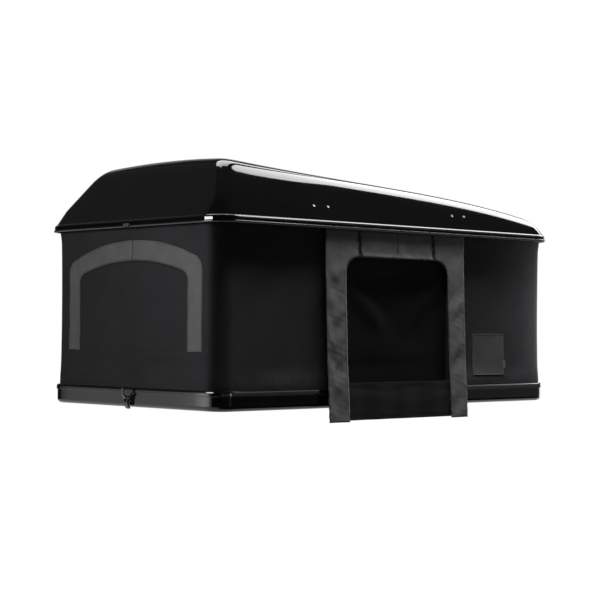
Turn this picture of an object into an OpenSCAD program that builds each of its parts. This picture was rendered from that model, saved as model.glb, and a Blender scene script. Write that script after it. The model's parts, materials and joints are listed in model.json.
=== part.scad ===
// Hard-shell roof top tent with a roof that lifts straight up, drawn open, in millimetres.
// +X runs to the low end of the roof, the door shown first faces -Y and +Z is up.
// The origin is the middle of the four mounting holes, on the underside of the rails.

/* [Roof shell] */
// Length of the roof over its lip
roof_l = 2150; // [1790:10:2580]
// Width of the roof over its lip
roof_w = 1241; // [1034:1:1490]
// Plan radius of the corners of the lip
lip_corner_r = 108; // [90:1:130]
// Height of the lip under the ledge
lip_h = 32; // [28:1:40]
// How far the edge bead stands proud of the face of the lip
bead_out = 3; // [1:0.5:4]
// Distance from the lip's outline in to the foot of the dome
ledge_w = 13; // [11:1:20]
// Wall thickness of the roof shell
shell_t = 5; // [3:0.5:6]
// Rise of the dome over the ledge at its tall end
tall_rise = 274; // [220:1:330]
// Rise of the dome over the ledge at its low end
low_rise = 86; // [70:1:110]
// Extra height of the bowed roof line towards the low end
roof_bow = 31; // [0:1:60]
// Drop of the roof from its middle line to the long sides
roof_crown = 34; // [0:1:42]
// Distance from the tall end of the dome to its crest
crest_inset = 152; // [120:1:200]
// Lean of the long side walls of the dome from upright, in degrees
side_lean = 33; // [24:1:38]
// Lean of the tall end wall of the dome from upright, in degrees
tall_lean = 26; // [20:1:40]
// Lean of the low end wall of the dome from upright, in degrees
low_lean = 34; // [25:1:44]
// Height over which the walls of the dome round into its roof
shoulder_blend = 66; // [30:1:80]
// Distance over which the side walls of the dome round into its end walls
corner_blend = 60; // [30:5:120]

/* [Tray] */
// Height of the tray
tray_h = 85; // [72:1:110]
// How far the tray's flange lies inside the outline of the lip
flange_inset = 18; // [15:1:22]
// Height of the proud flange round the top of the tray
flange_h = 21; // [14:1:26]
// How far the flange stands out from the wall of the tray
flange_out = 4.5; // [2:0.5:7]
// Thickness of the tray's hollow wall, from flange face to inside face
tray_wall = 14; // [10:1:18]
// Thickness of the tray's floor
tray_floor_t = 6; // [4:1:10]
// Radius of the tray's bottom edge
tray_edge_r = 20; // [10:1:26]

/* [Bedding] */
// Thickness of the floor board
board_t = 12; // [9:1:18]
// Thickness of the mattress at its edge
mattress_h = 56; // [45:1:60]
// Extra thickness in the middle of the mattress
mattress_crown = 8; // [0:1:10]
// Play between the floor board and the lift tracks
board_play = 4; // [2:1:10]

/* [Fabric] */
// Thickness of the wall fabric, with its lining
wall_t = 2; // [1:0.5:3]
// How far the wall fabric reaches down inside the tray
wall_tuck = 40; // [30:1:55]
// Distance of the middle of the door from the middle of the tent
door_x = -22; // [-120:1:120]
// Width of the doorway
door_w = 690; // [500:1:760]
// Distance from the lip down to the top of the doorway
door_head = 118; // [100:1:160]
// Height of the doorway's sill over the tray
door_sill = 10; // [4:1:40]
// Corner radius of the doorway
door_r = 80; // [30:1:120]
// Width of each grey strip of the door curtain
curtain_strip = 122; // [90:1:150]
// How far the near door curtain hangs below the tray
curtain_drop = 60; // [20:1:100]
// Height of the foot of the shorter far door curtain over the tray's underside
far_curtain_rise = 24; // [6:1:50]
// How far the foot of the door curtain stands out from its top
curtain_lean = 30; // [14:1:60]
// Depth of the folds at the foot of the door curtain
curtain_fold = 5; // [1:0.5:8]
// Height of the top of the dark skirt over the tray
skirt_rise = 24; // [10:1:60]
// Depth of the wrinkles in the skirt
skirt_fold = 4; // [1:0.5:6]
// Width of the window hood over its legs
hood_w = 940; // [700:1:960]
// Width of the grey strip of the window hood
hood_strip = 87; // [60:1:110]
// Distance from the lip down to the top of the window hood
hood_head = 54; // [40:1:90]
// Height of the feet of the window hood over the tray
hood_foot = 158; // [60:1:220]
// Radius of the hood's long top curve
hood_arc_r = 1240; // [900:10:2000]
// Radius of the hood's outer corners
hood_corner_r = 66; // [30:1:90]
// Width of the sewn patch on the long wall
patch_w = 217; // [150:1:240]
// Height of the sewn patch
patch_h = 193; // [120:1:220]
// Distance of the middle of the patch from the middle of the tent
patch_x = 628; // [600:1:680]
// Height of the patch's lower edge over the tray
patch_rise = 45; // [20:1:120]

/* [Lift] */
// How far the roof rises
lift = 698; // [580:1:838]
// How far the shut lip reaches down past the top of the tray
lip_lap = 8; // [4:1:12]
// Height of the frame under the ledge of the roof
frame_h = 11; // [8:1:12]
// Distance from the inside of the tray's long side to a lift pivot
pivot_margin = 88; // [70:1:120]
// Height between the two pivots of an arm when the roof is shut
shut_rise = 46; // [42:1:56]
// Height of the flat lift arms
arm_h = 22; // [16:1:25]
// Thickness of the lift arms
arm_t = 8; // [5:1:9]
// Width of the lift tracks
track_w = 60; // [56:1:70]
// Sheet thickness of the lift tracks
track_t = 3; // [2:0.5:4]
// Distance from the inside of the tray's short side to a lift track
track_gap = 32; // [26:1:50]
// Radius of the nylon glides
glide_r = 13; // [12.5:0.5:15]
// Radius of the arm pins
arm_pin_r = 5; // [4:0.5:6]
// Radius of the gas spring's cylinder
gas_r = 9.5; // [8:0.5:10.5]
// Radius of the gas spring's rod
rod_r = 4.5; // [3:0.5:5]
// Distance from an arm's foot to the gas spring's pin
gas_set = 105; // [80:1:130]

/* [Latch] */
// Width of the latch plate
latch_w = 36; // [30:1:50]
// Height of the latch pin over the underside of the tray
latch_rise = 40; // [36:1:44]
// Distance of the latch pin from the tray's wall
latch_pin_out = 14; // [12:1:16]
// Radius of the latch pin
latch_pin_r = 3; // [2:0.5:3.5]
// Turn of the claw from open to latched, in degrees
claw_turn = 7; // [6:1:10]
// Width of the claw
claw_w = 14; // [10:1:16]
// Width of the keeper on the lip
keeper_w = 40; // [26:1:60]

/* [Mounting rails] */
// How far the rails stand below the tray
rail_drop = 12; // [10:1:25]
// Width of a rail
rail_w = 40; // [34:1:60]
// Length of a rail
rail_l = 1500; // [1150:10:1700]
// Width of the bolt channel in a rail
rail_slot_w = 28; // [20:1:30]
// Thickness of a rail's web
rail_web = 3; // [2:0.5:5]
// Distance between the mounting holes along the tent
bolt_x = 1000; // [800:1:1100]
// Distance between the mounting holes across the tent
bolt_y = 700; // [550:1:800]
// Diameter of the mounting holes
bolt_d = 9; // [6.5:0.5:11]

/* [Braces] */
// Distance of the brace near the tall end from the middle of the tent
tall_brace_x = -456; // [-560:1:-400]
// Distance of the brace near the low end from the middle of the tent
low_brace_x = 427; // [380:1:480]
// Length of a brace along the tent
brace_l = 114; // [100:1:140]
// Height of a brace
brace_h = 28; // [20:1:36]
// Height of the brace screws over the ledge
screw_rise = 64; // [58:1:74]
// Distance between the two screws of a pair
screw_pitch = 84; // [60:1:90]
// Radius of a screw head
screw_head_r = 5.5; // [4:0.5:7]

/* [Hidden] */
$fn = 48;

// Clearances: between bodies, on a turning pin, round a fixed pin
gap = 0.3;
running = 0.06;
fixed = 0.02;

// Heights
tray_top = rail_drop + tray_h;
floor_top = rail_drop + tray_floor_t;
lip_z = tray_top - lip_lap + lift;
ledge_z = lip_z + lip_h;
frame_z = ledge_z - shell_t - frame_h;
wall_top = frame_z - gap;
wall_foot = tray_top - wall_tuck;

// Half lengths, half widths and corner radii of the outlines that fit into each other
lip_half = [roof_l / 2, roof_w / 2];
flange_half = lip_half - [flange_inset, flange_inset];
flange_r = lip_corner_r - flange_inset;
tray_in_half = flange_half - [tray_wall, tray_wall];
tray_in_r = flange_r - tray_wall;
wall_half = tray_in_half - [gap, gap];
wall_r = tray_in_r - gap;
dome_half = lip_half - [ledge_w, ledge_w];
dome_r = lip_corner_r - ledge_w;
frame_half = dome_half + [1, 1];
crest_x = crest_inset - dome_half.x;
shoulder_inset = 1.5 * tall_rise * tan(side_lean);
tray_wall_x = flange_half.x - flange_out;

// Lift: pivots, angles and the planes of its parts along X
pivot_y = tray_in_half.y - pivot_margin;
arm_l = norm([2 * pivot_y, shut_rise]);
shut_angle = atan2(shut_rise, 2 * pivot_y);
open_angle = asin((shut_rise + lift) / arm_l);
foot_z = floor_top + track_t + gap + glide_r;
head_z = foot_z + shut_rise + lift;
arm_ride = arm_l * sin((shut_angle + open_angle) / 2) - shut_rise - lift / 2 + 2;
track_out = tray_in_half.x - track_gap;
track_in = track_out - track_w;
track_half_l = pivot_y + 25;
arm_play = 4;
outer_arm_x = track_out - track_t - arm_play - arm_t;
inner_arm_x = track_in + track_t + arm_play;
mid_x = (outer_arm_x + inner_arm_x + arm_t) / 2;
base_track_h = 32;
roof_track_reach = 8;
cross_pin_r = 6;
glide_l = 18;
gas_arm = arm_l / 2 - gas_set;
gas_open_l = 2 * gas_arm * cos(open_angle);
gas_part_l = gas_open_l - 60;
gas_pin_r = 4;
gas_eye_r = 9;
gas_eye_t = 12;
gas_wall = 2;
gas_cap = 8;
gas_neck_l = 22;
piston_l = 12;

// Door curtain: its hinge line under the lip and its outline
curtain_t = 2.5;
hinge_z = lip_z - 2;
hinge_y = flange_half.y + 5;
curtain_top = hinge_z + 0.5;
curtain_foot = rail_drop - curtain_drop;
far_curtain_foot = rail_drop + far_curtain_rise;
curtain_in = door_w / 2 - 23;
curtain_out = curtain_in + curtain_strip;
door_top = lip_z - door_head;
skirt_top = tray_top + skirt_rise;
strap_x = 237;
strap_w = 18;
strap_t = 1.2;

// Latch heights and places, measured out from the tray's wall
latch_z = rail_drop + latch_rise;
lip_out = flange_inset + flange_out;
keeper_t = 2.5;
keeper_shelf = 3;
keeper_shelf_rise = 4;
claw_tip_z = tray_top - lip_lap + keeper_shelf_rise + 1.5;

// Segments of an outline: along the long sides, along the short sides, round each corner
roof_steps = [14, 8, 5];
tray_steps = [1, 2, 12];
mattress_steps = [10, 6, 4];

black_gloss = [0.05, 0.05, 0.055];
black_cloth = [0.12, 0.12, 0.13];
grey_cloth = [0.30, 0.30, 0.31];
metal = [0.70, 0.71, 0.73];
dark_metal = [0.16, 0.16, 0.17];
nylon = [0.85, 0.85, 0.82];
rubber = [0.08, 0.08, 0.08];

// Rounded rectangle whose corners are true arcs
module rounded(half, r) {
    square([2 * half.x, 2 * (half.y - r)], center = true);
    square([2 * (half.x - r), 2 * half.y], center = true);
    for (x = [-1, 1], y = [-1, 1])
        translate([x * (half.x - r), y * (half.y - r)]) circle(r);
}

// Upright band between two rounded rectangles
module band(half, r, t, h) {
    linear_extrude(h) difference() {
        rounded(half, r);
        rounded(half - [t, t], r - t);
    }
}

// Plates from a drawn outline: across Y with X-Z outlines, across X with Y-Z outlines
module plate_y(y, t) {
    translate([0, y + t, 0]) rotate([90, 0, 0]) linear_extrude(t) children();
}

module plate_x(x, t) {
    translate([x, 0, 0]) rotate([90, 0, 90]) linear_extrude(t) children();
}

// Round bar along X or along Y
module bar_x(x0, x1, y, z, r) {
    translate([x0, y, z]) rotate([0, 90, 0]) cylinder(h = x1 - x0, r = r);
}

module bar_y(x, y0, y1, z, r) {
    translate([x, y0, z]) rotate([-90, 0, 0]) cylinder(h = y1 - y0, r = r);
}

// The two ends and the two long sides are mirror images
module at_tall() { mirror([1, 0, 0]) children(); }
module at_far() { mirror([0, 1, 0]) children(); }

// Points of a rounded rectangle, from the middle of its +X side
// with closer points towards the corners
function eased(t) = 0.4 * t + 0.3 * (1 - cos(180 * t));
function side(a, b, steps) = [for (i = [0 : steps - 1]) a + (b - a) * eased(i / steps)];
function bend(c, r, a0, steps) =
    [for (i = [0 : steps - 1]) let (a = a0 + 90 * i / steps) c + r * [cos(a), sin(a)]];
function outline(h, r, steps) = concat(
    side([h.x, 0], [h.x, h.y - r], steps.y / 2),
    bend([h.x - r, h.y - r], r, 0, steps.z),
    side([h.x - r, h.y], [r - h.x, h.y], steps.x),
    bend([r - h.x, h.y - r], r, 90, steps.z),
    side([-h.x, h.y - r], [-h.x, r - h.y], steps.y),
    bend([r - h.x, r - h.y], r, 180, steps.z),
    side([r - h.x, -h.y], [h.x - r, -h.y], steps.x),
    bend([h.x - r, r - h.y], r, 270, steps.z),
    side([h.x, r - h.y], [h.x, 0], steps.y / 2));

// Outline drawn in by d and set at one height
function level(h, r, d, z, steps) =
    [for (p = outline(h - [d, d], r - d, steps)) [p.x, p.y, z]];

// Closed skin over a row of outlines. Each end is closed by strips across Y between the long sides
// and by a fan from each straight short side, which has 2 * k steps.
function turned(t, below) = below ? t : [t[2], t[1], t[0]];
function fan(n, k, m, s) =
    let (a = (m + s * (k + 1) + n) % n, b = (m - s * (k + 1) + n) % n)
        concat([[m, a, b]], [for (i = [0 : k - 1])
            each [[(m + s * i + n) % n, (m + s * (i + 1) + n) % n, a],
                [(m - s * i + n) % n, b, (m - s * (i + 1) + n) % n]]]);
function strips(n, k) =
    [for (i = [k + 1 : n / 2 - k - 2])
        each [[i, i + 1, n - i - 1], [i, n - i - 1, n - i]]];
function cap(o, n, k, below) =
    [for (t = concat(fan(n, k, 0, 1), strips(n, k), fan(n, k, n / 2, 1)))
        turned(t + [o, o, o], below)];
module loft(rings, steps) {
    n = len(rings[0]);
    k = steps.y / 2;
    last = len(rings) - 1;
    skin = [for (j = [0 : last - 1], i = [0 : n - 1])
        let (next = (i + 1) % n, a = j * n + i, b = j * n + next, c = b + n, d = a + n)
            each [[a, b, c], [a, c, d]]];
    ends = concat(cap(0, n, k, false), cap(last * n, n, k, true));
    polyhedron([for (r = rings) each r], concat(skin, ends));
}

// Cloth of even thickness from a grid of points on its middle, thickened along Y
module cloth(grid, t) {
    rows = len(grid);
    n = len(grid[0]);
    o = rows * n;
    middle = [for (row = grid) each row];
    points = concat([for (p = middle) p - [0, t / 2, 0]], [for (p = middle) p + [0, t / 2, 0]]);
    faces = [for (j = [0 : rows - 2], i = [0 : n - 2])
        let (a = j * n + i, b = a + 1, c = b + n, d = a + n)
            each [[a, d, c], [a, c, b], [o + a, o + c, o + d], [o + a, o + b, o + c]]];
    feet = [for (i = [0 : n - 2])
        let (a = i, b = i + 1, d = (rows - 1) * n + i, c = d + 1)
            each [[a, b, o + b], [a, o + b, o + a], [c, d, o + d], [c, o + d, o + c]]];
    hems = [for (j = [0 : rows - 2])
        let (a = j * n, d = a + n, b = a + n - 1, c = d + n - 1)
            each [[d, a, o + a], [d, o + a, o + d], [b, c, o + c], [b, o + c, o + b]]];
    polyhedron(points, concat(faces, feet, hems));
}

// Height of the dome over the ledge: sloped walls rounded into a bowed, crowned roof.
// t draws the walls in by the shell's thickness, for its inside.
function soft_min(a, b, k) = let (h = max(k - abs(a - b), 0) / k) min(a, b) - h * h * k / 4;
function roof_rise(x, y) =
    let (u = (x - crest_x) / (dome_half.x - crest_x), v = y / dome_half.y)
        tall_rise + (low_rise - tall_rise) * u + 4 * roof_bow * u * u * (1 - u * u) - roof_crown * v * v;
function dome_inset(x, y) =
    let (qx = abs(x) - dome_half.x + dome_r, qy = abs(y) - dome_half.y + dome_r)
        min(dome_r - norm([max(qx, 0), max(qy, 0)]) - min(max(qx, qy), 0),
            soft_min(dome_r - qx, dome_r - qy, corner_blend));
function wall_rise(x, y, t) =
    let (s = max(dome_inset(x, y) - t, 0), e = dome_half.x - abs(x) - t)
        soft_min(s / tan(side_lean), e / tan(x < 0 ? tall_lean : low_lean), 0.6 * s + 0.01);
function dome_rise(x, y, t) = max(0, soft_min(wall_rise(x, y, t), roof_rise(x, y), shoulder_blend));
// Rings that follow the corners between the walls, so they draw in faster at the flatter ends
function end_inset(s, lean) =
    min(s, shoulder_inset) * tan(lean) / tan(side_lean) + max(s - shoulder_inset, 0);
function dome_level(s, t) =
    let (a = end_inset(s, tall_lean), b = end_inset(s, low_lean),
        half = [dome_half.x - (a + b) / 2, dome_half.y - s])
        [for (p = outline(half, min(dome_r, 0.9 * half.y), roof_steps))
            let (x = p.x + (a - b) / 2) [x, p.y, ledge_z - t + dome_rise(x, p.y, t)]];
function side_wall_y(z, t) = dome_half.y - t - (z - ledge_z + t) * tan(side_lean);

// Roof shell: dome, ledge and a lip with a bead along its lower edge
module roof_shell() {
    outer_steps = [0, 14, 30, 46, 62, 80, 100, 122, 146, 172, 200, 235];
    inner_steps = [0, 25, 50, 80, 115, 160, 210];
    spread = [for (f = [0.48, 0.62, 0.78, 0.93]) f * dome_half.y];
    outer = concat(outer_steps, spread);
    inner = concat([for (s = inner_steps) s + shell_t], spread);
    face = bead_out + 0.8;
    lip = [[8, ledge_z], [face + 1.4, ledge_z - 1.2], [face, ledge_z - 4], [bead_out, lip_z + 8],
        [0.6, lip_z + 6.5], [0, lip_z + 5], [0, lip_z + 1.2], [1.2, lip_z], [shell_t, lip_z],
        [face + shell_t, ledge_z - shell_t - 4], [face + shell_t + 2, ledge_z - shell_t]];
    color(black_gloss) loft(concat(
        [for (i = [len(outer) - 1 : -1 : 0]) dome_level(outer[i], 0)],
        [for (p = lip) level(lip_half, lip_corner_r, p[0], p[1], roof_steps)],
        [for (s = inner) dome_level(s, shell_t)]), roof_steps);
}

// Tray: floor, upright wall with a rounded bottom edge, and a proud flange at its top
module base_tray() {
    inner_r = 10;
    edge = [for (a = [0 : 18 : 90])
        [flange_out + tray_edge_r * (1 - cos(a)), rail_drop + tray_edge_r * (1 - sin(a))]];
    profile = concat([[tray_wall + inner_r, floor_top], [tray_wall, floor_top + inner_r],
        [tray_wall, tray_top - 1.5], [tray_wall - 1.5, tray_top], [3, tray_top],
        [0.9, tray_top - 0.9], [0, tray_top - 3], [0, tray_top - flange_h + 1.5],
        [1, tray_top - flange_h], [flange_out, tray_top - flange_h - 1]], edge);
    color(black_gloss)
        loft([for (p = profile) level(flange_half, flange_r, p[0], p[1], tray_steps)], tray_steps);
}

board_half = [track_in - board_play, tray_in_half.y - 14];

module floor_board() {
    color([0.66, 0.52, 0.36]) translate([0, 0, floor_top]) linear_extrude(board_t)
        rounded(board_half, 20);
}

// Mattress: drawn in along its seams, with a crown
module mattress() {
    half = board_half - [6, 6];
    r = 60;
    z0 = floor_top + board_t;
    top = z0 + mattress_h;
    sides = [[12, z0], [3, z0 + 8], [0, z0 + mattress_h / 2], [4, top - 14], [16, top - 4]];
    spread = [for (f = [0.1, 0.25, 0.5, 0.8]) f * half.y];
    function crown(p) = mattress_crown * (1 - pow(p.x / half.x, 4)) * (1 - pow(p.y / half.y, 4));
    function top_level(s) = [for (p = outline(half - [s, s], max(r - s, 12), mattress_steps))
        [p.x, p.y, top - 3 + crown(p)]];
    color([0.45, 0.46, 0.48]) loft(concat(
        [for (i = [3 : -1 : 0]) top_level(spread[i])],
        [for (i = [4 : -1 : 0]) level(half, r, sides[i][0], sides[i][1], mattress_steps)]),
        mattress_steps);
}

// Mounting rail: channel open to the tray, with two mounting holes in its web
module near_mount_rail() {
    color(metal) difference() {
        translate([-rail_l / 2, -(bolt_y + rail_w) / 2, 0]) cube([rail_l, rail_w, rail_drop]);
        translate([-rail_l / 2 - 1, -(bolt_y + rail_slot_w) / 2, rail_web])
            cube([rail_l + 2, rail_slot_w, rail_drop]);
        for (x = [-1, 1])
            translate([x * bolt_x / 2, -bolt_y / 2, -1]) cylinder(h = rail_web + 2, d = bolt_d);
    }
}

module far_mount_rail() { at_far() near_mount_rail(); }

// Rail that clamps the foot of the fabric against the tray
module lower_wall_rail() {
    rail_h = 20;
    color(dark_metal) translate([0, 0, wall_foot + 2])
        band(wall_half - [wall_t, wall_t], wall_r - wall_t, 4, rail_h);
}

// Doorway and window outlines
module doorway(grow) {
    w = door_w / 2 + grow;
    top = door_top + grow;
    sill = tray_top + door_sill - grow;
    translate([door_x - w, sill]) square([2 * w, top - door_r - sill]);
    translate([door_x - w + door_r, sill]) square([2 * (w - door_r), top - sill]);
    for (x = [-1, 1])
        translate([door_x + x * (w - door_r), top - door_r]) circle(door_r);
}

function arch_half(half, apex, foot, r, c) =
    let (o = apex - r, z = o + sqrt(pow(r - c, 2) - pow(half - c, 2)), b = atan2(z - o, half - c))
        concat([[half, foot]],
            [for (i = [0 : 6]) let (a = b * i / 6) [half - c + c * cos(a), z + c * sin(a)]],
            [for (i = [1 : 10]) let (a = b + (90 - b) * i / 10) [r * cos(a), o + r * sin(a)]]);
module arch(inset, foot) {
    right = arch_half(hood_w / 2 - inset, lip_z - hood_head - inset, foot, hood_arc_r,
        max(hood_corner_r - inset / 4, 10));
    last = len(right) - 1;
    polygon(concat(right, [for (i = [last - 1 : -1 : 0]) [-right[i].x, right[i].y]]));
}

// Fabric tube with a doorway in each long side and an arched window in each end
module tent_wall() {
    cut = 20;
    hood_z = tray_top + hood_foot;
    color(black_cloth) difference() {
        translate([0, 0, wall_foot]) band(wall_half, wall_r, wall_t, wall_top - wall_foot);
        for (y = [-1, 1])
            plate_y(y * wall_half.y - cut / 2, cut) doorway(0);
        for (x = [-1, 1])
            plate_x(x * wall_half.x - cut / 2, cut) arch(hood_strip + 12, hood_z);
    }
}

panel_t = 2;
panel_lap = 16;

module near_door_panel() {
    color(black_cloth) plate_y(wall_t - wall_half.y, panel_t) doorway(panel_lap);
}

module far_door_panel() { at_far() near_door_panel(); }

module low_window_panel() {
    color(black_cloth) plate_x(wall_half.x - wall_t - panel_t, panel_t)
        arch(hood_strip + 12 - panel_lap, tray_top + hood_foot - panel_lap);
}

module tall_window_panel() { at_tall() low_window_panel(); }

// Window hood: grey strip sewn round the arch of the window
module low_window_hood() {
    foot = tray_top + hood_foot;
    color(grey_cloth) plate_x(wall_half.x, 3) difference() {
        arch(0, foot);
        arch(hood_strip, foot - 1);
    }
}

module tall_window_hood() { at_tall() low_window_hood(); }

module wall_patch() {
    color(grey_cloth) plate_y(-wall_half.y - 1.5, 1.5)
        translate([patch_x - patch_w / 2, tray_top + patch_rise]) square([patch_w, patch_h]);
}

// Lift track on the tray: channel open at the top, bored for the arm's foot pin
module low_base_track() {
    color(metal) difference() {
        translate([track_in, -track_half_l, floor_top]) cube([track_w, 2 * track_half_l, base_track_h]);
        translate([track_in + track_t, -track_half_l - 1, floor_top + track_t])
            cube([track_w - 2 * track_t, 2 * track_half_l + 2, base_track_h]);
        bar_x(track_in - 1, track_out + 1, -pivot_y, foot_z, arm_pin_r + fixed);
    }
}

module tall_base_track() { at_tall() low_base_track(); }

module foot_pins() {
    color(metal) for (x = [0, 1])
        mirror([x, 0, 0]) bar_x(track_in, track_out, -pivot_y, foot_z, arm_pin_r);
}

// Lift track under the roof: channel open below, slotted for the inner arm's head pin
module low_roof_track() {
    bottom = head_z - roof_track_reach;
    top = head_z + glide_r + arm_ride;
    slot_r = arm_pin_r + gap;
    color(metal) difference() {
        translate([track_in, -track_half_l, bottom])
            cube([track_w, 2 * track_half_l, top + track_t - bottom]);
        translate([track_in + track_t, -track_half_l - 1, bottom - 1])
            cube([track_w - 2 * track_t, 2 * track_half_l + 2, top - bottom + 1]);
        for (z = [0, arm_ride])
            bar_x(track_in - 1, track_out + 1, -pivot_y, head_z + z, slot_r);
        translate([track_in - 1, -pivot_y - slot_r, head_z]) cube([track_w + 2, 2 * slot_r, arm_ride]);
    }
}

module tall_roof_track() { at_tall() low_roof_track(); }

// Roof frame under the ledge; the lift tracks hang on its short sides
module roof_frame() {
    inside = [track_out, tray_in_half.y - 28];
    color(metal) translate([0, 0, frame_z]) linear_extrude(frame_h) difference() {
        rounded(frame_half, dome_r + 1);
        rounded(inside, 20);
    }
}

// Seal that the tray's flange meets when the roof is shut
module roof_seal() {
    seal_z = tray_top + lift + gap;
    color(rubber) translate([0, 0, seal_z])
        band(flange_half - [1, 1], flange_r - 1, 9, frame_z - seal_z);
}

// Cross brace inside the dome, its ends cut to the lean of the side walls
module brace(x) {
    sheet = 3;
    end_t = 9;
    z1 = ledge_z + screw_rise + brace_h / 3;
    z0 = z1 - brace_h;
    seat = 0.8;
    y0 = side_wall_y(z0, shell_t) - seat;
    y1 = side_wall_y(z1, shell_t) - seat;
    color(metal) difference() {
        plate_x(x - brace_l / 2, brace_l) polygon([[-y0, z0], [y0, z0], [y1, z1], [-y1, z1]]);
        translate([x - brace_l / 2 + sheet, end_t - y1, z0 - 1])
            cube([brace_l - 2 * sheet, 2 * (y1 - end_t), brace_h - sheet + 1]);
    }
}

module tall_brace() { brace(tall_brace_x); }
module low_brace() { brace(low_brace_x); }

module roof_screws() {
    shank_l = 12;
    z = ledge_z + screw_rise;
    color(metal) for (x = [tall_brace_x, low_brace_x], side = [-1, 1], far = [0, 1])
        mirror([0, far, 0]) translate([x + side * screw_pitch / 2, -side_wall_y(z, 0), z])
            rotate([90 - side_lean, 0, 0]) {
                cylinder(h = 2.5, r = screw_head_r);
                translate([0, 0, -shank_l]) cylinder(h = shank_l, r = screw_head_r / 2);
            }
}

// Keeper on the lip: plate with a shelf that the claw draws down on
module low_keeper() {
    x0 = lip_half.x;
    x1 = x0 + keeper_t;
    shelf = lip_z + keeper_shelf_rise;
    color(dark_metal) plate_y(-keeper_w / 2, keeper_w) polygon([[x0, lip_z + 1.2],
        [x0, lip_z + 5], [x0 + 0.3, lip_z + 17], [x1, lip_z + 17], [x1, shelf],
        [x1 + keeper_shelf, shelf], [x1 + keeper_shelf, shelf - 3], [x1, shelf - 4]]);
}

module tall_keeper() { at_tall() low_keeper(); }

// Rail that carries the top of the door curtain, under the roof frame
module near_curtain_rail() {
    rail_t = 6;
    foot = hinge_z + 1.3;
    color(dark_metal) translate([door_x - curtain_out, -hinge_y - rail_t / 2, foot])
        cube([2 * curtain_out, rail_t, frame_z - foot]);
}

module far_curtain_rail() { at_far() near_curtain_rail(); }

// Lift arm along +Y from its foot, with a bore at its foot, middle and gas spring pin
module arm(x, foot_r, cross_r, gas_at, head_r) {
    color(dark_metal) difference() {
        union() {
            translate([x, 0, -arm_h / 2]) cube([arm_t, arm_l, arm_h]);
            bar_x(x, x + arm_t, 0, 0, arm_h / 2);
            bar_x(x, x + arm_t, arm_l, 0, arm_h / 2);
        }
        bar_x(x - 1, x + arm_t + 1, 0, 0, foot_r);
        bar_x(x - 1, x + arm_t + 1, arm_l / 2, 0, cross_r);
        bar_x(x - 1, x + arm_t + 1, gas_at, 0, gas_pin_r + fixed);
        bar_x(x - 1, x + arm_t + 1, arm_l, 0, head_r);
    }
}

// The outer arm stands on the foot pin; the inner arm is its mirror image across the cross pin
module outer_frame() {
    translate([0, -pivot_y, foot_z]) rotate([open_angle, 0, 0]) children();
}

module inner_frame() {
    translate([0, arm_l * cos(open_angle) - pivot_y, foot_z]) rotate([-open_angle, 0, 0])
        mirror([0, 1, 0]) children();
}

module low_arm_outer() {
    outer_frame() arm(outer_arm_x, arm_pin_r + running, cross_pin_r + fixed, gas_set, arm_pin_r + fixed);
}

module low_arm_inner() {
    inner_frame() arm(inner_arm_x, arm_pin_r + fixed, cross_pin_r + running, gas_set, arm_pin_r + fixed);
}

module tall_arm_outer() { at_tall() low_arm_outer(); }
module tall_arm_inner() { at_tall() low_arm_inner(); }

// Cross pin, gas spring pin and head axle of the outer arm
module low_outer_pins() {
    color(metal) outer_frame() {
        bar_x(inner_arm_x - 1, outer_arm_x + arm_t + 1, arm_l / 2, 0, cross_pin_r);
        bar_x(mid_x - gas_eye_t / 2 - 1, outer_arm_x + arm_t, gas_set, 0, gas_pin_r);
        bar_x(mid_x - glide_l / 2, outer_arm_x + arm_t, arm_l, 0, arm_pin_r);
    }
}

// Foot axle, gas spring pin and head pin of the inner arm
module low_inner_pins() {
    color(metal) inner_frame() {
        bar_x(inner_arm_x, mid_x + glide_l / 2, 0, 0, arm_pin_r);
        bar_x(inner_arm_x, mid_x + gas_eye_t / 2 + 1, gas_set, 0, gas_pin_r);
        bar_x(track_in - 1, track_out - gap, arm_l, 0, arm_pin_r);
    }
}

module tall_outer_pins() { at_tall() low_outer_pins(); }
module tall_inner_pins() { at_tall() low_inner_pins(); }

// Nylon glides that run in the tracks
module glide(y) {
    color(nylon) difference() {
        bar_x(mid_x - glide_l / 2, mid_x + glide_l / 2, y, 0, glide_r);
        bar_x(mid_x - glide_l, mid_x + glide_l, y, 0, arm_pin_r + fixed);
    }
}

module low_outer_glide() { outer_frame() glide(arm_l); }
module low_inner_glide() { inner_frame() glide(0); }
module tall_outer_glide() { at_tall() low_outer_glide(); }
module tall_inner_glide() { at_tall() low_inner_glide(); }

// Level gas spring between the lower halves of the two arms
gas_y = gas_set * cos(open_angle) - pivot_y;
gas_z = foot_z + gas_set * sin(open_angle);

module gas_eye(y, neck) {
    bar_x(mid_x - gas_eye_t / 2, mid_x + gas_eye_t / 2, y, gas_z, gas_eye_r);
    bar_y(mid_x, min(y, y + neck), max(y, y + neck), gas_z, rod_r);
}

module low_gas_cylinder() {
    bore_r = gas_r - gas_wall;
    start = gas_y + gas_neck_l;
    stop = gas_y + gas_part_l;
    color(dark_metal) difference() {
        union() {
            gas_eye(gas_y, gas_neck_l);
            bar_y(mid_x, start, stop, gas_z, gas_r);
        }
        bar_x(mid_x - gas_eye_t, mid_x + gas_eye_t, gas_y, gas_z, gas_pin_r + running);
        bar_y(mid_x, start + gas_cap, stop - gas_cap, gas_z, bore_r);
        bar_y(mid_x, stop - gas_cap - 1, stop + 1, gas_z, rod_r + 0.1);
    }
}

module low_gas_rod() {
    rod_y = gas_y + gas_open_l;
    tip = rod_y - gas_part_l;
    color(metal) difference() {
        union() {
            gas_eye(rod_y, -gas_part_l);
            bar_y(mid_x, tip, tip + piston_l, gas_z, gas_r - gas_wall - 0.2);
        }
        bar_x(mid_x - gas_eye_t, mid_x + gas_eye_t, rod_y, gas_z, gas_pin_r + running);
    }
}

module tall_gas_cylinder() { at_tall() low_gas_cylinder(); }
module tall_gas_rod() { at_tall() low_gas_rod(); }

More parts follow.
